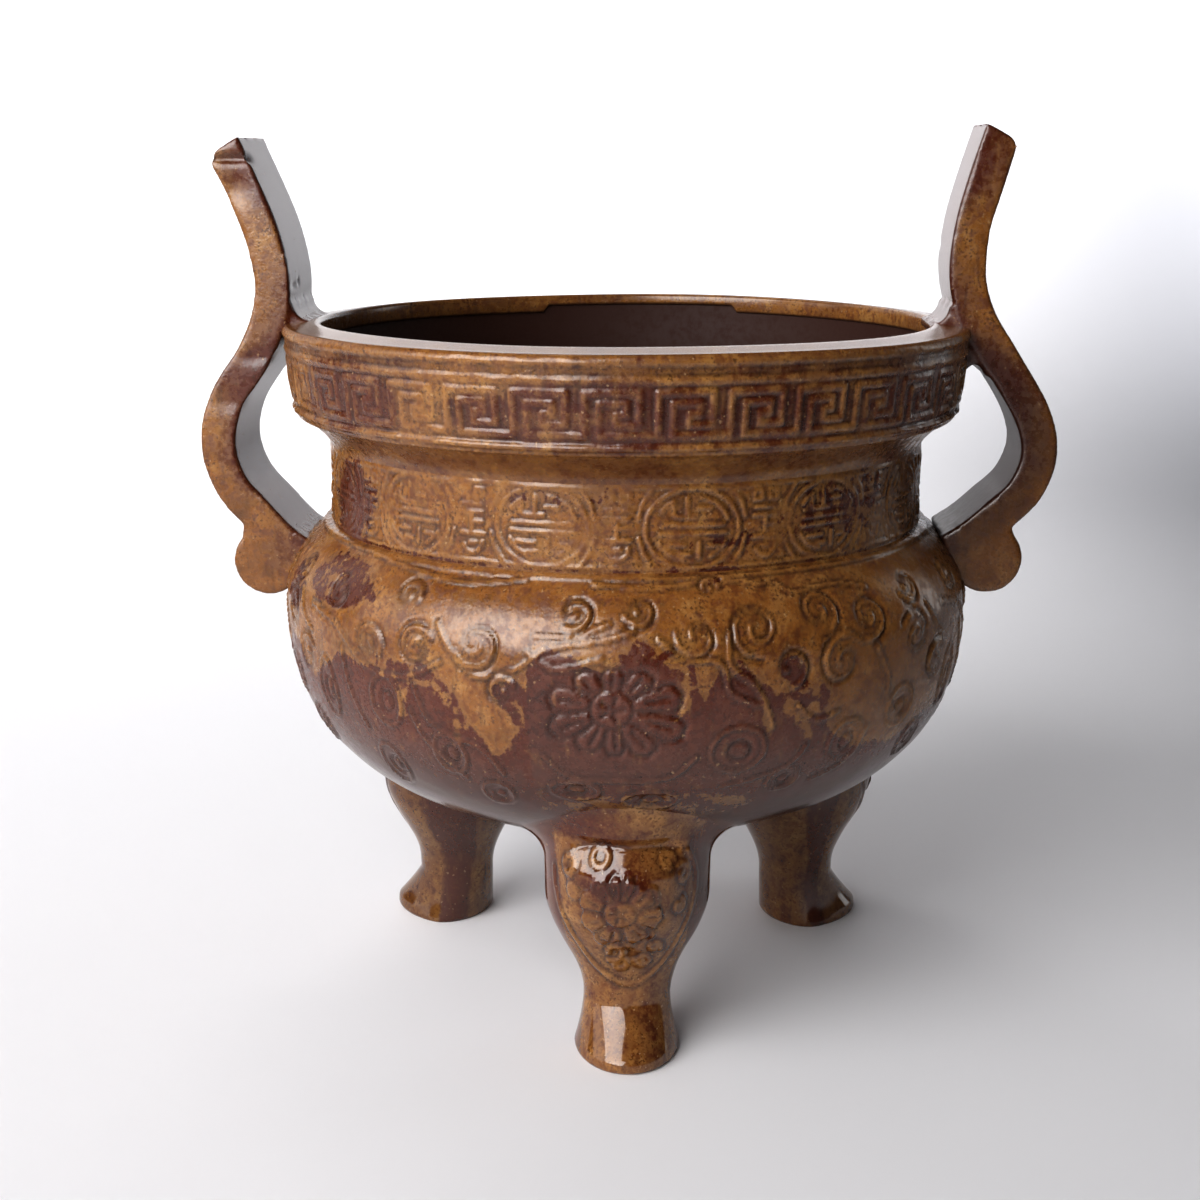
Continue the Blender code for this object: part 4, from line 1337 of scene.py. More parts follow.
    def pattern(self) -> tuple[list[Line], list[Line]]:
        """Ridges and grooves of one third of the vine.

        Returns:
            The ridges and the grooves.
        """
        ridges: list[Line] = []
        grooves = self.blossom((-2.6, 109.8))
        for place, radius, start, sweep in self.CURLS:
            centre = self.spot(place)
            ridges.append(spiral(centre, radius, radius * 0.2, start, sweep))
            grooves.append(spiral(centre, radius + 1.3, radius * 0.35, start + 30, sweep * 0.7))
        for place, radius, high in self.OVALS:
            centre = self.spot(place)
            ridges.append(ring(centre, radius, high, 26))
            grooves.append(ring((centre[0] + 0.6, centre[1] - 0.3), radius * 0.42, high, 14))
        third = 2 * pi * FORM.belly_radius / 3
        collar_line = ((-0.5, -1.5), (-0.2, -1.2), (0.1, -1.6), (0.5, -1.5))
        ridges.append(bent([(share * third, drop) for share, drop in collar_line]))
        for stem in self.STEMS:
            ridges.append(bent([self.spot(place) for place in stem]))
        return ridges, grooves

    def build(self) -> bpy.types.Object:
        """Throw the belly.

        Returns:
            The belly before it is carved.
        """
        rows = self.rows()
        made = turned(rows, self.crowd)
        azimuth, height, row = made["azimuth"], made["height"], made["row"]
        poles = [index for index, spec in enumerate(rows) if spec[2] == 1]
        outside = row <= poles[0]
        arc = np.where(outside, self.arc(height), -200.0)
        press = smooth_share(arc, -0.1, -0.8)
        press *= smooth_share(height, self.carved_to + 1.0, self.carved_to + 7.0)
        # A low bead runs round just under the shoulder's crease
        bead = np.exp(-((arc + self.bead_drop) / self.bead_width) ** 2)
        made["points"][:, :2] *= 1 + (self.bead * outside * bead)[:, None]
        piece = Skin(made["points"], made["faces"], azimuth * FORM.belly_radius, arc)
        degree = np.degrees(azimuth)
        coat = self.coat_edge(degree, height)
        for centre, size, soft in self.THIN:
            thin = np.clip(patch(degree, height, centre, size, soft), 0.0, 3.6)
            coat = np.minimum(coat, 2.4 - 0.8 * thin)
        coat = np.where(coat > 0, np.minimum(coat, 3.6), coat)
        under = np.array([patch(degree, height, (centre + 3.0, 79.0), (17.0, 5.0), 1.2)
                          for centre in (0.0, 120.0, -120.0)])
        coat = np.maximum(coat, np.clip(under.max(axis=0), -self.coat_depth, -0.1))
        mauve = 0.15 + 0.65 * smooth_share(height, 112.0, 84.0)
        # Painted shade: the glaze darkens towards the belly's underside
        thick = 0.85 * smooth_share(height, 98.0, 66.0) * outside
        piece.values = {"press": press * outside, "ochre": coat, "inside": 1.0 * (row >= poles[-1]),
                        "mauve": mauve * outside, "thick": thick,
                        "glossy": 0.35 * smooth_share(height, 98.0, 78.0) * outside}
        return piece.to_object("belly")

    def carving(self) -> Carving:
        """Vine and blossom, once for each third of the belly."""
        ridges, grooves = self.pattern()
        third = 2 * pi * FORM.belly_radius / 3
        return Carving(ridges, grooves, repeats=5, pitch=third, phase=0.0, ridge_width=self.ridge,
                       ridge_relief=self.relief, mound_reach=self.groove, mound_relief=-self.depth,
                       wander=0.4, worn_to=0.75)


@dataclass
class Leg(Pressed):
    """Cabriole leg that opens out into the belly, with a flower panel on its knee."""

    name: str
    azimuth: float
    circle: float = 64.5
    knee_width: float = 46.2
    knee_reach: float = 23.6
    ankle_width: float = 24.6
    ankle_reach: float = 11.2
    foot_width: float = 30.6
    foot_reach: float = 21.4
    fillet: float = 10.0
    sole_round: float = 1.4
    toe_height: float = 3.2
    columns: int = 256
    ridge: float = 1.5
    relief: float = 0.4
    groove: float = 0.8
    depth: float = 0.75
    bare_bands: tuple[tuple[float, float], ...] = ((-46.0, -21.0), (21.0, 46.0))
    # Painted shade that darkens the whole leg; the back legs get more of it
    thick: float = 0.12
    upright: float = 0.0
    girth: float = 17.0

    # Heart of the knee's flower: distance across the leg, and height
    HEART = (-2.2, 48.4)
    # Petals of the flower, each from one angle to the next, with its reach
    PETALS = (
        (20, 62, 10.8), (66, 84, 11.6), (88, 104, 12.2), (108, 128, 11.2), (134, 176, 12.2), (182, 226, 12),
        (232, 274, 10.8), (280, 322, 11.4), (328, 374, 11.8),
    )
    # Edge of the panel on the knee, across and up
    PANEL = (
        (18, 64.5), (21.5, 58), (20.6, 49), (16.4, 38.5), (10.4, 29), (4.4, 24), (0, 23), (-5, 25),
        (-12, 31), (-20, 42), (-24, 52), (-24.5, 58),
    )
    # Curls of the panel by their eye, outer and inner radius, start and sweep in degrees
    CURLS = (
        ((15.8, 58.6), 3, 0.6, 120, -420), ((11, 62.6), 2.3, 0.5, 10, 380),
        ((-4, 34.6), 3.6, 1.4, 250, 300), ((4.2, 31.4), 2.6, 0.6, 180, 420),
        ((-2.4, 30), 2.4, 0.8, 60, -330), ((7.6, 36), 2.2, 0.5, -30, 380),
        ((-15.4, 53.4), 2.2, 0.5, 90, 380), ((14.6, 49.6), 2.3, 0.5, 60, -380),
    )
    # The knee's cushion swells to its edge and rolls back into a crease: heights and lifts
    ROLL_HEIGHTS = (42.0, 51.0, 56.0, 58.6, 60.6, 65.4, 66.6, 67.6, 69.5, 73.0)
    ROLL_LIFTS = (0.0, 0.7, 1.3, 1.4, 0.9, -2.0, -2.6, -2.4, -1.0, 0.0)

    @staticmethod
    def swell(height: np.ndarray, low: float, high: float) -> np.ndarray:
        """Share that grows along a sine between two heights."""
        return np.sin(pi / 2 * np.clip((height - low) / (high - low), 0.0, 1.0)) ** 2

    def section(self, height: np.ndarray) -> tuple[np.ndarray, np.ndarray, np.ndarray]:
        """Outer reach, inner reach and half width at a height.

        Args:
            height: Heights above the floor.

        Returns:
            The three sizes at each height.
        """
        under = FORM.floor_clearance
        ankle = under * 0.3
        toe = 1 - 0.05 * np.clip(1 - height / self.sole_round, 0.0, 1.0) ** 2
        foot = np.clip(1 - height / ankle, 0.0, 1.0) ** 1.7
        neck = self.ankle_width / 2
        side = neck + (self.foot_width / 2 - neck) * foot
        side = side + (self.knee_width / 2 - neck) * self.swell(height, ankle, under * 0.9)
        toe_slope = np.clip((ankle - height) / (ankle - self.toe_height), 0.0, 1.0) ** 1.15
        outer = self.ankle_reach + (self.foot_reach - self.ankle_reach) * toe_slope
        outer = outer + (self.knee_reach - self.ankle_reach) * self.swell(height, ankle * 1.25, under)
        inner = np.where(height > ankle, side, neck * (1 - 0.14 * foot))
        return outer * toe, inner * toe, side * toe

    def loft(self) -> tuple[np.ndarray, np.ndarray]:
        """Rings of points from the foot up into the belly.

        Returns:
            Points as rows by columns, with azimuth zero along +X, and the turn of
            each column from the outermost one.
        """
        share = np.arange(self.columns) / self.columns * 2 - 1
        turn = pi * (0.72 * share + 0.28 * share ** 3)
        outer, inner, side = (float(size) for size in self.section(np.array(FORM.floor_clearance + 1.0)))
        reach = np.where(np.cos(turn) > 0, outer, inner)
        wall = np.column_stack((self.circle + reach * np.cos(turn), side * np.sin(turn)))
        aside = np.column_stack((np.cos(turn) / reach, np.sin(turn) / side))
        aside /= np.hypot(*aside.T)[:, None]
        bend = np.full(self.columns, 0.8)
        for _ in range(6):
            met = wall + aside * (self.fillet * (1 - np.cos(bend)))[:, None]
            away = np.hypot(*met.T)
            slope = FORM.belly_bottom(away + 0.5) - FORM.belly_bottom(away - 0.5)
            climb = slope * (aside * met / away[:, None]).sum(axis=1)
            bend = pi / 2 - np.arctan(climb)
        start = FORM.belly_bottom(np.hypot(*met.T)) - self.fillet * np.sin(bend)
        rows = []
        for step in np.concatenate(([0.0, 0.004, 0.01, 0.018], np.linspace(0.028, 1.0, 104))):
            height = start * step
            outer_s, inner_s, side_s = self.section(height)
            reach_s = np.where(np.cos(turn) > 0, outer_s, inner_s)
            spot = np.column_stack((self.circle + reach_s * np.cos(turn), side_s * np.sin(turn)))
            rows.append(np.column_stack((spot, height)))
        for step in range(1, 27):
            angle = bend * step / 26
            spot = wall + aside * (self.fillet * (1 - np.cos(angle)))[:, None]
            rows.append(np.column_stack((spot, start + self.fillet * np.sin(angle))))
        last = rows[-1].copy()
        last[:, 2] += 1.3
        rows.append(last)
        return np.array(rows), turn

    def cushion(self, across: np.ndarray, height: np.ndarray) -> np.ndarray:
        """Lift of the knee: a flower in relief on a cushion that rolls back under the belly.

        Args:
            across: Distance round the leg from its outer line.
            height: Height of each point.

        Returns:
            How far each point stands out.
        """
        u, v = across - self.HEART[0], height - self.HEART[1]
        lobes = 12.4 + 0.7 * np.cos(9 * np.arctan2(v, u))
        lift = 0.9 * smooth_share(lobes - np.hypot(u, v), 0.0, 1.8)
        roll = np.interp(height, self.ROLL_HEIGHTS, self.ROLL_LIFTS)
        return lift + roll * smooth_share(20.0 - np.abs(across + 1.5), 0.0, 8.0)

    def build(self) -> bpy.types.Object:
        """Model the leg.

        Returns:
            The leg before it is carved.
        """
        rings, turn = self.loft()
        count, columns = rings.shape[:2]
        points = rings.reshape(-1, 3)
        steps = np.hypot(*np.moveaxis(np.diff(rings[:, :, :2], axis=1, append=rings[:, :1, :2]), 2, 0))
        along = np.concatenate((np.zeros((count, 1)), np.cumsum(steps, axis=1)[:, :-1]), axis=1)
        front = columns // 2
        across = along - along[:, front:front + 1]
        aside = np.roll(rings, -1, axis=1) - np.roll(rings, 1, axis=1)
        lift = self.cushion(across, rings[:, :, 2]) / np.hypot(aside[:, :, 0], aside[:, :, 1])
        rings[:, :, 0] += aside[:, :, 1] * lift
        rings[:, :, 1] -= aside[:, :, 0] * lift
        faces: list = []
        column = np.arange(columns)
        after = (column + 1) % columns
        for row in range(count - 1):
            a, b = row * columns, (row + 1) * columns
            faces += np.column_stack((a + column, a + after, b + after, b + column)).tolist()
        base, cap = len(points), len(points) + 1
        inside_belly = float(FORM.belly_bottom(np.array(self.circle))) + 2.5
        points = np.vstack((points, [[self.circle, 0.0, 0.0], [self.circle, 0.0, inside_belly]]))
        faces += np.column_stack((np.full(columns, base), after, column)).tolist()
        top = (count - 1) * columns
        faces += np.column_stack((top + column, top + after, np.full(columns, cap))).tolist()
        height = points[:, 2].copy()
        flat_u = np.append(across.ravel(), [0.0, 0.0])
        # Bands of glaze run straight down where they are told by the turn, not by the distance round
        by_turn = np.append(np.tile(turn, count) * self.girth, [0.0, 0.0])
        banded = flat_u * (1 - self.upright) + by_turn * self.upright
        wide = np.append(np.tile(np.cos(turn), count), [-1.0, -1.0])
        placed = spun(points, radians(self.azimuth) - pi / 2)
        press = smooth_share(wide, -0.15, 0.12) * smooth_share(height, 15.0, 19.0)
        press *= smooth_share(height, 74.0, 69.0)
        row_of = np.append(np.repeat(np.arange(count), columns), [0, count])
        press *= row_of < count - 8
        skin = Skin(placed, faces, flat_u, height)
        skin.values = {"press": press, **self.glazed(banded, height, wide)}
        return skin.to_object(self.name)

    def glazed(self, across: np.ndarray, height: np.ndarray, facing: np.ndarray) -> dict[str, np.ndarray]:
        """Painted values of the leg's glaze: streaks that ran down to the foot, and painted shade.

        Args:
            across: Distance round the leg from its outer line.
            height: Height of each point.
            facing: 1 on the outer line and -1 on the inner one.

        Returns:
            Values by the names that the glaze reads.
        """
        coat = 0.8 + 0.5 * np.sin(across * 0.7 + self.azimuth) * (1 - smooth_share(height, 14.0, 34.0))
        for start, end in self.bare_bands:
            edge = across + 0.05 * (height - 30) + 0.8 * np.sin(height * 0.21)
            within = np.minimum(edge - start, end - edge)
            coat = np.minimum(coat, -np.clip(within * 1.1, -3.0, 2.6))
        heart = 1 - np.hypot((across + 5.0) / 11.0, (height - 57.0) / 6.0)
        coat = coat - 3.0 * np.clip(heart, 0.0, 1.0)
        crown = smooth_share(height, 66.0, 71.0)
        coat = coat * (1 - crown) + crown * (1.9 * np.exp(-((across - 9.0) / 13.0) ** 2) - 1.3)
        foot = smooth_share(height, 22.0, 12.0) * smooth_share(facing, -0.2, 0.5)
        coat = np.maximum(coat, 3.0 * foot - 2.2)
        even = np.ones(height.shape)
        return {"ochre": coat, "mauve": 0.2 + 0.3 * smooth_share(facing, 0.4, -0.8), "soft": 0.6 * even,
                "thick": self.thick * even, "glossy": even}

    def flower(self, heart: Point) -> list[Line]:
        """Grooves of the flower on the knee.

        Args:
            heart: Distance across the leg and height of its heart.

        Returns:
            Its lines.
        """
        u, v = heart
        lines = [ring(heart, 4.6, 1.0, 18), bent([(-16.0, 65.4), (-9.0, 66.8), (4.0, 66.4), (15.0, 65.6)])]
        for turn in (0.4, 1.7, 2.8, 4.1, 5.2):
            lines.append([(u + reach * cos(angle), v + reach * sin(angle))
                          for reach, angle in ((0.8, turn), (2.4, turn + 0.3))])
        for low, high, reach in self.PETALS:
            edge = []
            for step in range(7):
                turn = radians(low + (high - low) * step / 6)
                bulge = reach * (1 - 0.1 * abs(step / 3 - 1) ** 2 + 0.03 * sin(step * 2.3 + low))
                edge.append((u + bulge * cos(turn), v + bulge * sin(turn)))
            near = [(u + 5.2 * cos(radians(turn)), v + 5.2 * sin(radians(turn))) for turn in (low, high)]
            lines.append([near[0], *edge, near[1]])
            turn = radians(low + (high - low) * 0.56)
            lines.append([(u + part * cos(turn), v + part * sin(turn)) for part in (6.4, 9.2)])
        return lines

    def pattern(self) -> list[Line]:
        """Panel, bosses and curls on the knee."""
        lines = [bent(self.PANEL)]
        lines += [ring((-8.2, 64.2), 2.4, 1.0, 14), ring((-17.4, 60.6), 1.9, 1.2, 12)]
        return lines + [spiral(*curl) for curl in self.CURLS]

    def carving(self) -> Carving:
        """Panel and flower of the knee, once."""
        return Carving(self.pattern(), self.flower(self.HEART), repeats=1, pitch=1000.0, phase=0.0,
                       ridge_width=self.ridge, ridge_relief=self.relief, mound_reach=self.groove,
                       mound_relief=-self.depth, worn_to=0.55)


class Side(Enum):
    """Which handle, as seen from the front leg."""

    LEFT = -1
    RIGHT = 1


@dataclass(frozen=True)
class Dent:
    """Chip, crease or finger mark on a handle, in the handle's own directions."""

    reach: float
    across: float
    height: float
    size: Place
    depth: float
    dark: float = 0.0


# The left handle has a fold below its top and chips at its base; the right one has nicks in its back edge
DENTS = {
    Side.LEFT: (
        Dent(112.0, -15.5, 245.4, (8.0, 4.0, 1.2), 1.5, 0.3), Dent(111.0, -15.5, 237.0, (4.0, 4.0, 4.5), 0.6),
        Dent(93.0, -9.5, 209.4, (3.4, 3.4, 0.8), 1.3, 0.9),
        Dent(93.0, -3.5, 210.2, (3.4, 1.1, 1.0), 1.2, 0.9),
        Dent(106.0, -15.5, 189.0, (6.0, 4.0, 2.0), 0.6), Dent(115.0, -15.5, 176.0, (7.0, 4.0, 3.0), 0.5),
    ),
    Side.RIGHT: (
        Dent(96.5, 14.5, 220.5, (3.0, 2.4, 1.2), 1.8, 0.9),
        Dent(97.5, 14.8, 224.4, (2.2, 2.0, 0.9), 1.3, 0.8),
        Dent(108.0, -15.5, 250.0, (5.0, 4.0, 5.0), 0.5), Dent(103.5, -15.5, 226.0, (4.0, 4.0, 6.0), 0.4),
    ),
}
# Clay pressed into the wedge between the right strap and the collar, as an outline
WEDGE = (
    (95.0, 197.0), (97.6, 186.0), (99.0, 187.6), (100.6, 188.4), (102.2, 187.4), (103.8, 184.6),
    (106.4, 187.0), (104.0, 196.0),
)


@dataclass
class Handle:
    """Strap handle that rises from the shoulder, clasps the rim and stands above it."""

    side: Side
    thickness: float = 10.3
    width: float = 31.0
    rise: float = 52.5
    flare: float = 10.6
    reach: float = 20.0
    turn: float = 4.0
    lean: float = 4.6
    uneven: float = 2.0
    overlap: float = 0.4
    knob_radius: float = 10.2
    knob_reach: float = 5.0
    web: float = 5.0
    corner: float = 4.2
    voxel: float = 0.72

    def centre_line(self) -> Line:
        """Line through the middle of the strap, from its top end to its heel."""
        form = FORM
        lean = -self.side.value * self.lean
        lift = self.side.value * self.uneven
        throat = form.rim_radius - self.overlap
        loop = form.rim_radius + self.reach
        rise = self.rise + lift
        top = form.rim_top
        knob, heel = self.knob()
        span = form.waist_top - heel
        knots = [
            (throat + self.flare + lean, top + rise),
            (throat + self.flare * 0.56 + lean * 0.85, top + rise * 0.76),
            (throat + self.flare * 0.17 + lean * 0.68, top + rise * 0.51),
            (throat + lean * 0.5, top + rise * 0.26),
            (throat + self.reach * 0.11 + lean * 0.25, top + form.lip_depth * 0.5),
            (throat + self.reach * 0.42, top - form.collar_height * 0.37),
            (loop - self.reach * 0.14, heel + span * 1.28),
            (loop, heel + span * 0.93),
            (loop - self.reach * 0.17, heel + span * 0.61),
            (knob + self.knob_radius * 0.31, heel + span * 0.39),
            (knob - self.knob_radius * 0.41, heel + self.knob_radius * 0.63),
            (knob - self.knob_radius * 1.03, heel + self.knob_radius * 0.2),
        ]
        return bent(knots, 5)

    def knob(self) -> Point:
        """Centre of the round knob at the heel."""
        lift = self.side.value * self.uneven
        return FORM.belly_radius + self.knob_reach, FORM.shoulder - self.knob_radius * 1.2 + lift

    def outlines(self) -> list[Line]:
        """Closed outlines of the strap with its knob, the web on the lip and the wedge below it.

        Returns:
            Outlines in the handle's own plane.
        """
        half = self.thickness / 2
        line = self.centre_line()
        knob = self.knob()
        outer, inner = [], []
        for index, spot in enumerate(line):
            before, after = line[max(0, index - 1)], line[min(len(line) - 1, index + 1)]
            along = (after[0] - before[0], after[1] - before[1])
            length = hypot(*along)
            side = (-along[1] / length * half, along[0] / length * half)
            outer.append((spot[0] + side[0], spot[1] + side[1]))
            inner.append((spot[0] - side[0], spot[1] - side[1]))
        outer[0] = (outer[0][0], outer[0][1] - self.thickness * 0.15)
        outer = self.rounded(outer, inner[0])
        clear = self.knob_radius + 1.0
        strap = [spot for spot in outer if hypot(spot[0] - knob[0], spot[1] - knob[1]) > clear]
        start = atan2(strap[-1][1] - knob[1], strap[-1][0] - knob[0]) - radians(14)
        stop = radians(-128)
        arc = [(knob[0] + self.knob_radius * cos(start + (stop - start) * step / 18),
                knob[1] + self.knob_radius * sin(start + (stop - start) * step / 18)) for step in range(19)]
        root = [(FORM.belly_radius - FORM.wall * 0.6, arc[-1][1])]
        lean = -self.side.value * self.lean
        wall = FORM.rim_radius - self.overlap - half + lean * 0.4
        base, crown = FORM.rim_top - FORM.lip_depth * 0.5, FORM.rim_top + 0.5
        web = [(wall + self.thickness * 0.4, base), (wall + self.thickness * 0.4, crown + self.web)]
        web += [(wall - self.web * (1 - cos(angle)), crown + self.web * (1 - sin(angle)))
                for angle in (pi / 2 * step / 8 for step in range(9))]
        web.append((wall - self.web, base))
        found = [strap + arc + root + inner[::-1], web]
        return found + [list(WEDGE)] if self.side is Side.RIGHT else found

    def rounded(self, outer: Line, inner_corner: Point) -> Line:
        """Round the strap's outer top corner.

        Args:
            outer: Outer edge of the strap, from its top corner down.
            inner_corner: Top corner on the inner edge.

        Returns:
            The outer edge with the corner taken off.
        """
        corner = np.array(outer[0])
        kept = [spot for spot in outer if hypot(spot[0] - corner[0], spot[1] - corner[1]) > self.corner]
        below = corner + (np.array(kept[0]) - corner) * self.corner / hypot(*(np.array(kept[0]) - corner))
        across = np.array(inner_corner) - corner
        beside = corner + across * self.corner / hypot(*across)
        arc = [(1 - t) ** 2 * beside + 2 * t * (1 - t) * corner + t * t * below
               for t in np.linspace(0.0, 1.0, 6)]
        return [(float(spot[0]), float(spot[1])) for spot in arc] + kept

    def slab(self, outline: Line, width: float) -> tuple[list, list]:
        """Points and faces of an outline drawn out to a slab.

        Args:
            outline: Closed outline.
            width: Width of the slab.

        Returns:
            Points in millimetres and faces, both sides filled by the outline.
        """
        count = len(outline)
        points = [(u, -width / 2, v) for u, v in outline] + [(u, width / 2, v) for u, v in outline]
        faces = [tuple(range(count)), tuple(range(2 * count - 1, count - 1, -1))]
        for step in range(count):
            after = (step + 1) % count
            faces.append((after, step, step + count, after + count))
        return points, faces

    def build(self) -> bpy.types.Object:
        """Model the handle: slabs, joined and rounded like soft clay.

        Returns:
            The handle as one closed mesh.
        """
        name = f"handle_{self.side.name.lower()}"
        points, faces = [], []
        for index, outline in enumerate(self.outlines()):
            more, others = self.slab(outline, self.width - 1.6 * min(index, 1))
            faces += [tuple(corner + len(points) for corner in face) for face in others]
            points += more
        points = np.array(points)
        spin = radians(-self.turn) + (0.0 if self.side is Side.RIGHT else pi)
        mesh = bpy.data.meshes.new(name)
        mesh.from_pydata((spun(points, spin) * MM).tolist(), [], faces)
        made = place_object(name, mesh)
        grain = made.modifiers.new("clay", "REMESH")
        grain.mode = "VOXEL"
        grain.voxel_size = self.voxel * MM
        soft = made.modifiers.new("fingers", "SMOOTH")
        soft.factor = 0.5
        soft.iterations = 6
        settle(made)
        self.paint(made, spin)
        return made

    def paint(self, piece: bpy.types.Object, spin: float) -> None:
        """Paint the handle's glaze: ochre on the edges, grey without ochre within, and painted shade.

        Args:
            piece: The modelled handle.
            spin: Its turn about the axis.
        """
        mesh = piece.data
        count = len(mesh.vertices)
        spots = np.empty(count * 3)
        mesh.vertices.foreach_get("co", spots)
        spots = spots.reshape(-1, 3) / MM
        normals = np.array([normal.vector[:] for normal in mesh.vertex_normals])
        # Across runs along +Y of the burner on both handles, so that minus is the side towards the camera
        along, toward = spun(spots, -spin).T[:2]
        toward = toward if self.side is Side.RIGHT else -toward
        dark = np.zeros(count)
        for dent in DENTS[self.side]:
            gap = np.stack(((along - dent.reach) / dent.size[0], (toward - dent.across) / dent.size[1],
                            (spots[:, 2] - dent.height) / dent.size[2]))
            share = np.exp(-(gap ** 2).sum(axis=0))
            spots = spots - normals * (dent.depth * share)[:, None]
            dark = np.maximum(dark, dent.dark * share)
        mesh.vertices.foreach_set("co", (spots * MM).ravel())
        outwards, sideways = spun(normals, -spin).T[:2]
        sideways = np.abs(sideways)
        reach, height = spun(spots, -spin).T[0], spots[:, 2]
        inner = smooth_share(outwards, -0.35, -0.8)
        # Distance from the strap's middle line, positive on its outer side
        across = segment_distance(reach, height, self.centre_line())
        line = np.array(self.centre_line())[::-1]
        line = line[np.argsort(line[:, 1])]
        beside = np.where(reach > np.interp(height, line[:, 1], line[:, 0]), across, -across)
        coat = 0.3 + 0.4 * beside + 1.6 * np.sin(height * 0.09 + 0.8) + 0.7 * np.sin(height * 0.23)
        coat = coat - 3.4 * inner
        # Painted shade: the right handle, shaded by the bowl, is darker, most of all below and on its inner
        # side
        most = 0.6 if self.side is Side.RIGHT else 0.0
        darker = smooth_share(height, 205.0, 170.0) * (1 - 0.4 * smooth_share(beside, 1.0, 5.0))
        thick = 0.3 * most + most * darker
        edge = smooth_share(np.minimum(sideways, np.sqrt(np.clip(1 - sideways ** 2, 0.0, 1.0))), 0.3, 0.62)
        mesh.polygons.foreach_set("use_smooth", np.ones(len(mesh.polygons), dtype=bool))
        # Painted shade: the inner faces get more of the dark inside colour lower down, most on the right
        # handle
        for key, value in {"ochre": coat, "mauve": 0.55 * inner + 0.45, "glossy": 0.5 * inner,
                           "inside": inner * (0.22 + (0.1 + most) * smooth_share(height, 205.0, 180.0)),
                           "pool": 0.4 * edge + dark, "soft": np.ones(count), "thick": thick}.items():
            paint(mesh, key, value)

    def dress(self, piece: bpy.types.Object, glaze: bpy.types.Material) -> None:
        """Glaze the handle.

        Args:
            piece: The modelled handle.
            glaze: Its glaze.
        """
        piece.data.materials.clear()
        piece.data.materials.append(glaze)
        finish_piece(piece)


@dataclass(frozen=True)
class PaperSweep:
    """Matt white paper, swept up behind the burner; it greys between two distances in metres."""

    colour: str = "#e8e7e9"
    far_colour: str = "#9a9a9e"
    roughness: float = 0.85
    aside: float = 0.28
    grey_from: float = 0.38
    grey_to: float = 0.82

    def make(self) -> bpy.types.Material:
        """Build the paper's material."""
        made, tree = blank_material("matt_white_studio_paper")
        spot = add(tree, "ShaderNodeTexCoord", out="Object")
        # Painted shade: the white paper is greyer away from the burner and to its right, so that little light
        # comes back from there
        apart = add(tree, "ShaderNodeSeparateXYZ", {0: spot})
        aside = add(tree, MATH, {0: apart, 1: self.aside}, operation="ADD")
        ahead = add(tree, MATH, {0: apart.node.outputs["Y"], 1: 0.0}, operation="MINIMUM")
        flat = add(tree, "ShaderNodeCombineXYZ", {"X": aside, "Y": ahead})
        away = add(tree, VECTOR, {0: flat}, "Value", operation="LENGTH")
        near = add(tree, RANGE, {0: away, 1: self.grey_from, 2: self.grey_to}, **SMOOTH)
        colour = add(tree, MIX, {0: near, 6: linear(self.colour), 7: linear(self.far_colour)}, 2, **COLOURS)
        fibre = add(tree, NOISE, {"Vector": spot, "Scale": 900.0, "Detail": 2.0})
        bump = add(tree, "ShaderNodeBump", {"Strength": 0.08, "Distance": 0.0002, "Height": fibre})
        shader = add(tree, "ShaderNodeBsdfPrincipled",
                     {"Base Color": colour, "Roughness": self.roughness, "Normal": bump})
        add(tree, "ShaderNodeOutputMaterial", {0: shader})
        return made


# Middle of the burner, which the lights on it face, in metres
MIDDLE = (0.0, 0.0, 0.13)


def around(azimuth: float, lift: float, away: float) -> Place:
    """Place round the burner's middle, by azimuth and lift in degrees and distance in metres."""
    turn, up = radians(azimuth), radians(lift)
    return away * sin(turn) * cos(up), -away * cos(turn) * cos(up), MIDDLE[2] + away * sin(up)


@dataclass(frozen=True)
class Lamp:
    """Soft rectangular light, in metres and watts.

    Its spread is the angle in degrees that its light keeps to, as behind a grid.
    """

    name: str
    place: Place
    target: Place
    size: Point
    power: float
    spread: float = 180.0

    def hang(self) -> None:
        """Hang the light where it faces its target."""
        light = bpy.data.lights.new(self.name, "AREA")
        light.shape = "RECTANGLE"
        light.size, light.size_y = self.size
        light.energy = self.power
        light.spread = radians(self.spread)
        made = place_object(self.name, light)
        made.location = self.place
        made.rotation_euler = (Vector(self.target) - Vector(self.place)).to_track_quat("-Z", "Y").to_euler()


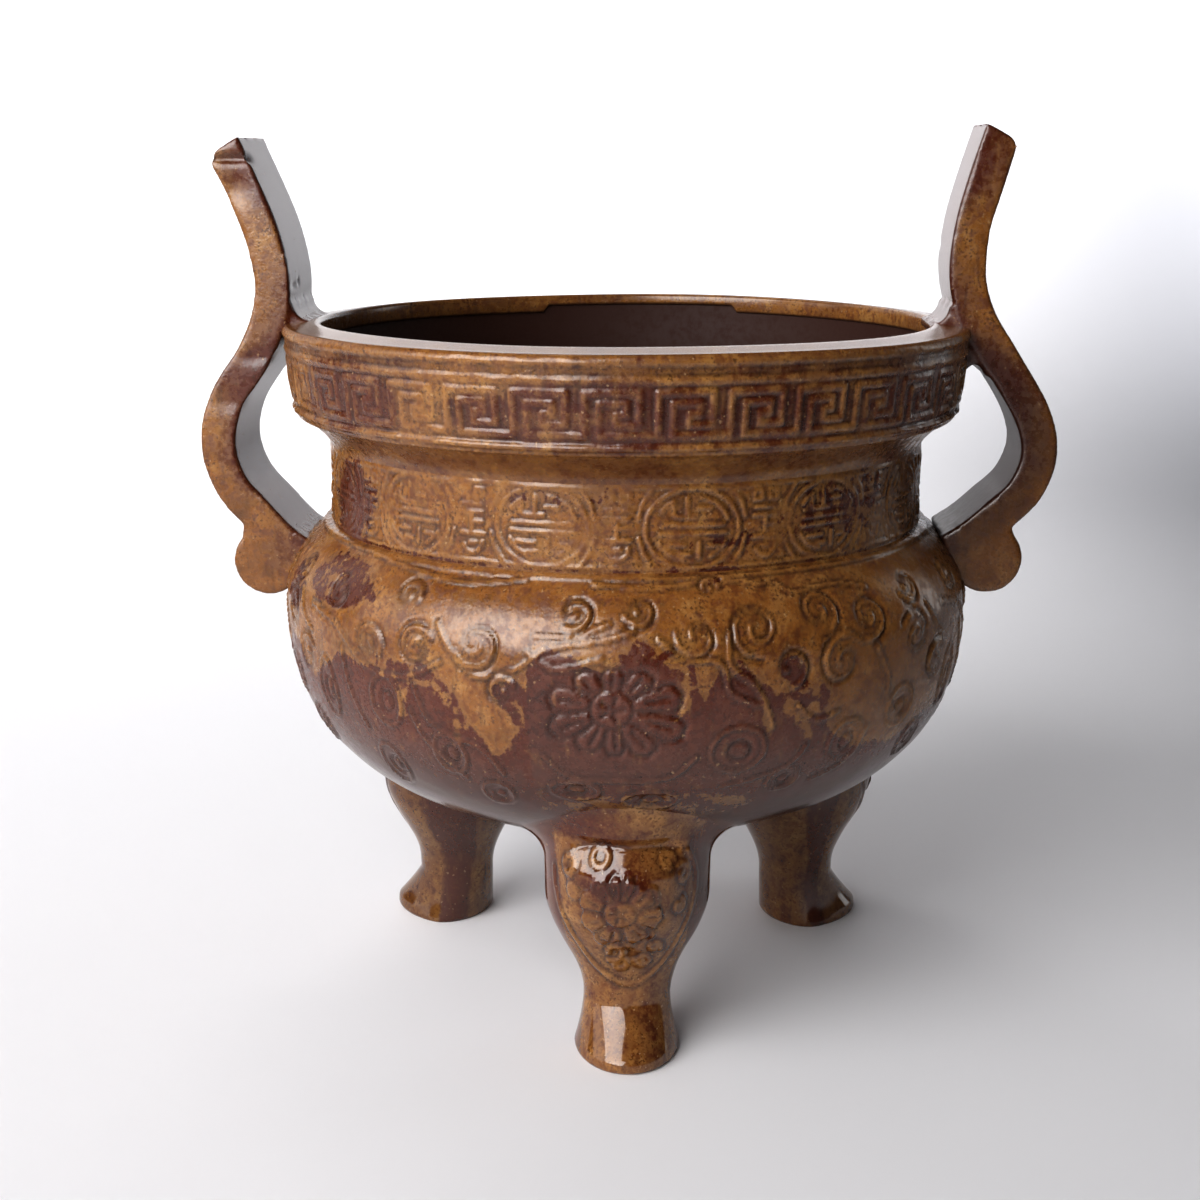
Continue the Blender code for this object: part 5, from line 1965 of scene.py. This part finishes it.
@dataclass
class Studio:
    """Floor, lights and camera; none of them belongs to the burner."""

    lens: float = 54.98
    sensor: float = 36.0
    place: Place = (-0.00763, -0.54507, 0.24566)
    tilt: float = 76.43
    floor_reach: float = 6.0
    near_fold: float = 1.4
    sweep_start: float = 0.75
    sweep_radius: float = 0.55
    sweep_top: float = 2.4
    world_strength: float = 0.05
    gamma: float = 0.8

    LAMPS = (
        Lamp("window", around(-40.0, 27.0, 1.3), MIDDLE, (1.25, 1.15), 14.0, 120.0),
        Lamp("far_room", around(-16.0, 4.0, 1.7), MIDDLE, (1.0, 1.2), 1.1, 110.0),
        Lamp("right_glow", around(114.0, 8.0, 1.2), MIDDLE, (0.3, 1.0), 0.4, 90.0),
        Lamp("side_window", around(-82.0, 16.0, 1.3), MIDDLE, (0.7, 1.1), 1.5, 110.0),
        Lamp("back_window", around(-125.0, 20.0, 1.3), MIDDLE, (0.5, 0.9), 0.4, 100.0),
        Lamp("overhead", around(-40.0, 78.0, 1.6), MIDDLE, (1.4, 1.4), 0.4),
        Lamp("on_paper", (-0.9, 0.5, 0.8), (-0.35, 1.2, 0.1), (0.5, 0.9), 1.9, 140.0),
        Lamp("on_sweep", (-0.6, 0.8, 1.4), (-0.35, 1.3, 0.6), (1.2, 0.3), 11.0, 130.0),
        Lamp("on_corner", (0.85, 0.35, 0.6), (0.62, 1.3, 0.4), (0.4, 0.3), 4.4, 70.0),
    )

    def floor(self) -> None:
        """Lay the paper and sweep it up at the back."""
        profile = [(-self.floor_reach, 0.0), (-self.near_fold, 0.0), (self.sweep_start, 0.0)]
        profile += [(self.sweep_start + self.sweep_radius * sin(angle), self.sweep_radius * (1 - cos(angle)))
                    for angle in (pi / 2 * step / 12 for step in range(1, 13))]
        profile.append((self.sweep_start + self.sweep_radius, self.sweep_top))
        points = [(x, y, z) for x in (-self.floor_reach, self.floor_reach) for y, z in profile]
        count = len(profile)
        faces = [(step, count + step, count + step + 1, step + 1) for step in range(count - 1)]
        mesh = bpy.data.meshes.new("paper_floor")
        mesh.from_pydata(points, [], faces)
        mesh.polygons.foreach_set("use_smooth", [True] * len(mesh.polygons))
        made = place_object("paper_floor", mesh)
        made.data.materials.append(PaperSweep().make())

    def lights(self) -> None:
        """Hang the window light, the lights on the paper and those of the dim room."""
        for lamp in self.LAMPS:
            lamp.hang()
        world = bpy.data.worlds.new("dim_room")
        bpy.context.scene.world = world
        world.use_nodes = True
        back = world.node_tree.nodes["Background"]
        back.inputs["Color"].default_value = linear("#f3f5fb")
        back.inputs["Strength"].default_value = self.world_strength

    def camera(self) -> None:
        """Set the camera at the photograph's angle."""
        data = bpy.data.cameras.new("camera")
        data.lens = self.lens
        data.sensor_width = self.sensor
        made = place_object("camera", data)
        made.location = self.place
        made.rotation_euler = (radians(self.tilt), 0.0, 0.0)
        bpy.context.scene.camera = made
        bpy.context.scene.view_settings.view_transform = "Standard"
        bpy.context.scene.view_settings.gamma = self.gamma

    def build(self) -> None:
        """Set up the whole studio."""
        self.floor()
        self.lights()
        self.camera()


def main() -> None:
    """Build, carve and glaze every piece, then set up the studio."""
    logging.basicConfig(level=logging.INFO, format="%(name)s: %(message)s")
    glaze = IronGlaze().make()
    tree = CarvingTree()
    bowl = (Collar(), Waist(), Belly())
    # The two back legs get much more painted shade than the front one
    legs = (
        Leg("leg_front", 0.0),
        Leg("leg_right", 116.5, bare_bands=((-33.0, -26.0), (14.0, 21.0)), thick=0.55, upright=1.0),
        Leg("leg_left", -120.0, bare_bands=((5.0, 17.0), (30.0, 44.0), (-30.0, -16.0)), thick=0.62,
            upright=1.0),
    )
    for part in (*bowl, *legs):
        piece = part.build()
        part.dress(piece, tree, glaze)
    for side in Side:
        handle = Handle(side)
        handle.dress(handle.build(), glaze)
    bpy.data.node_groups.remove(tree.tree)
    Studio().build()


if __name__ == "__main__":
    main()
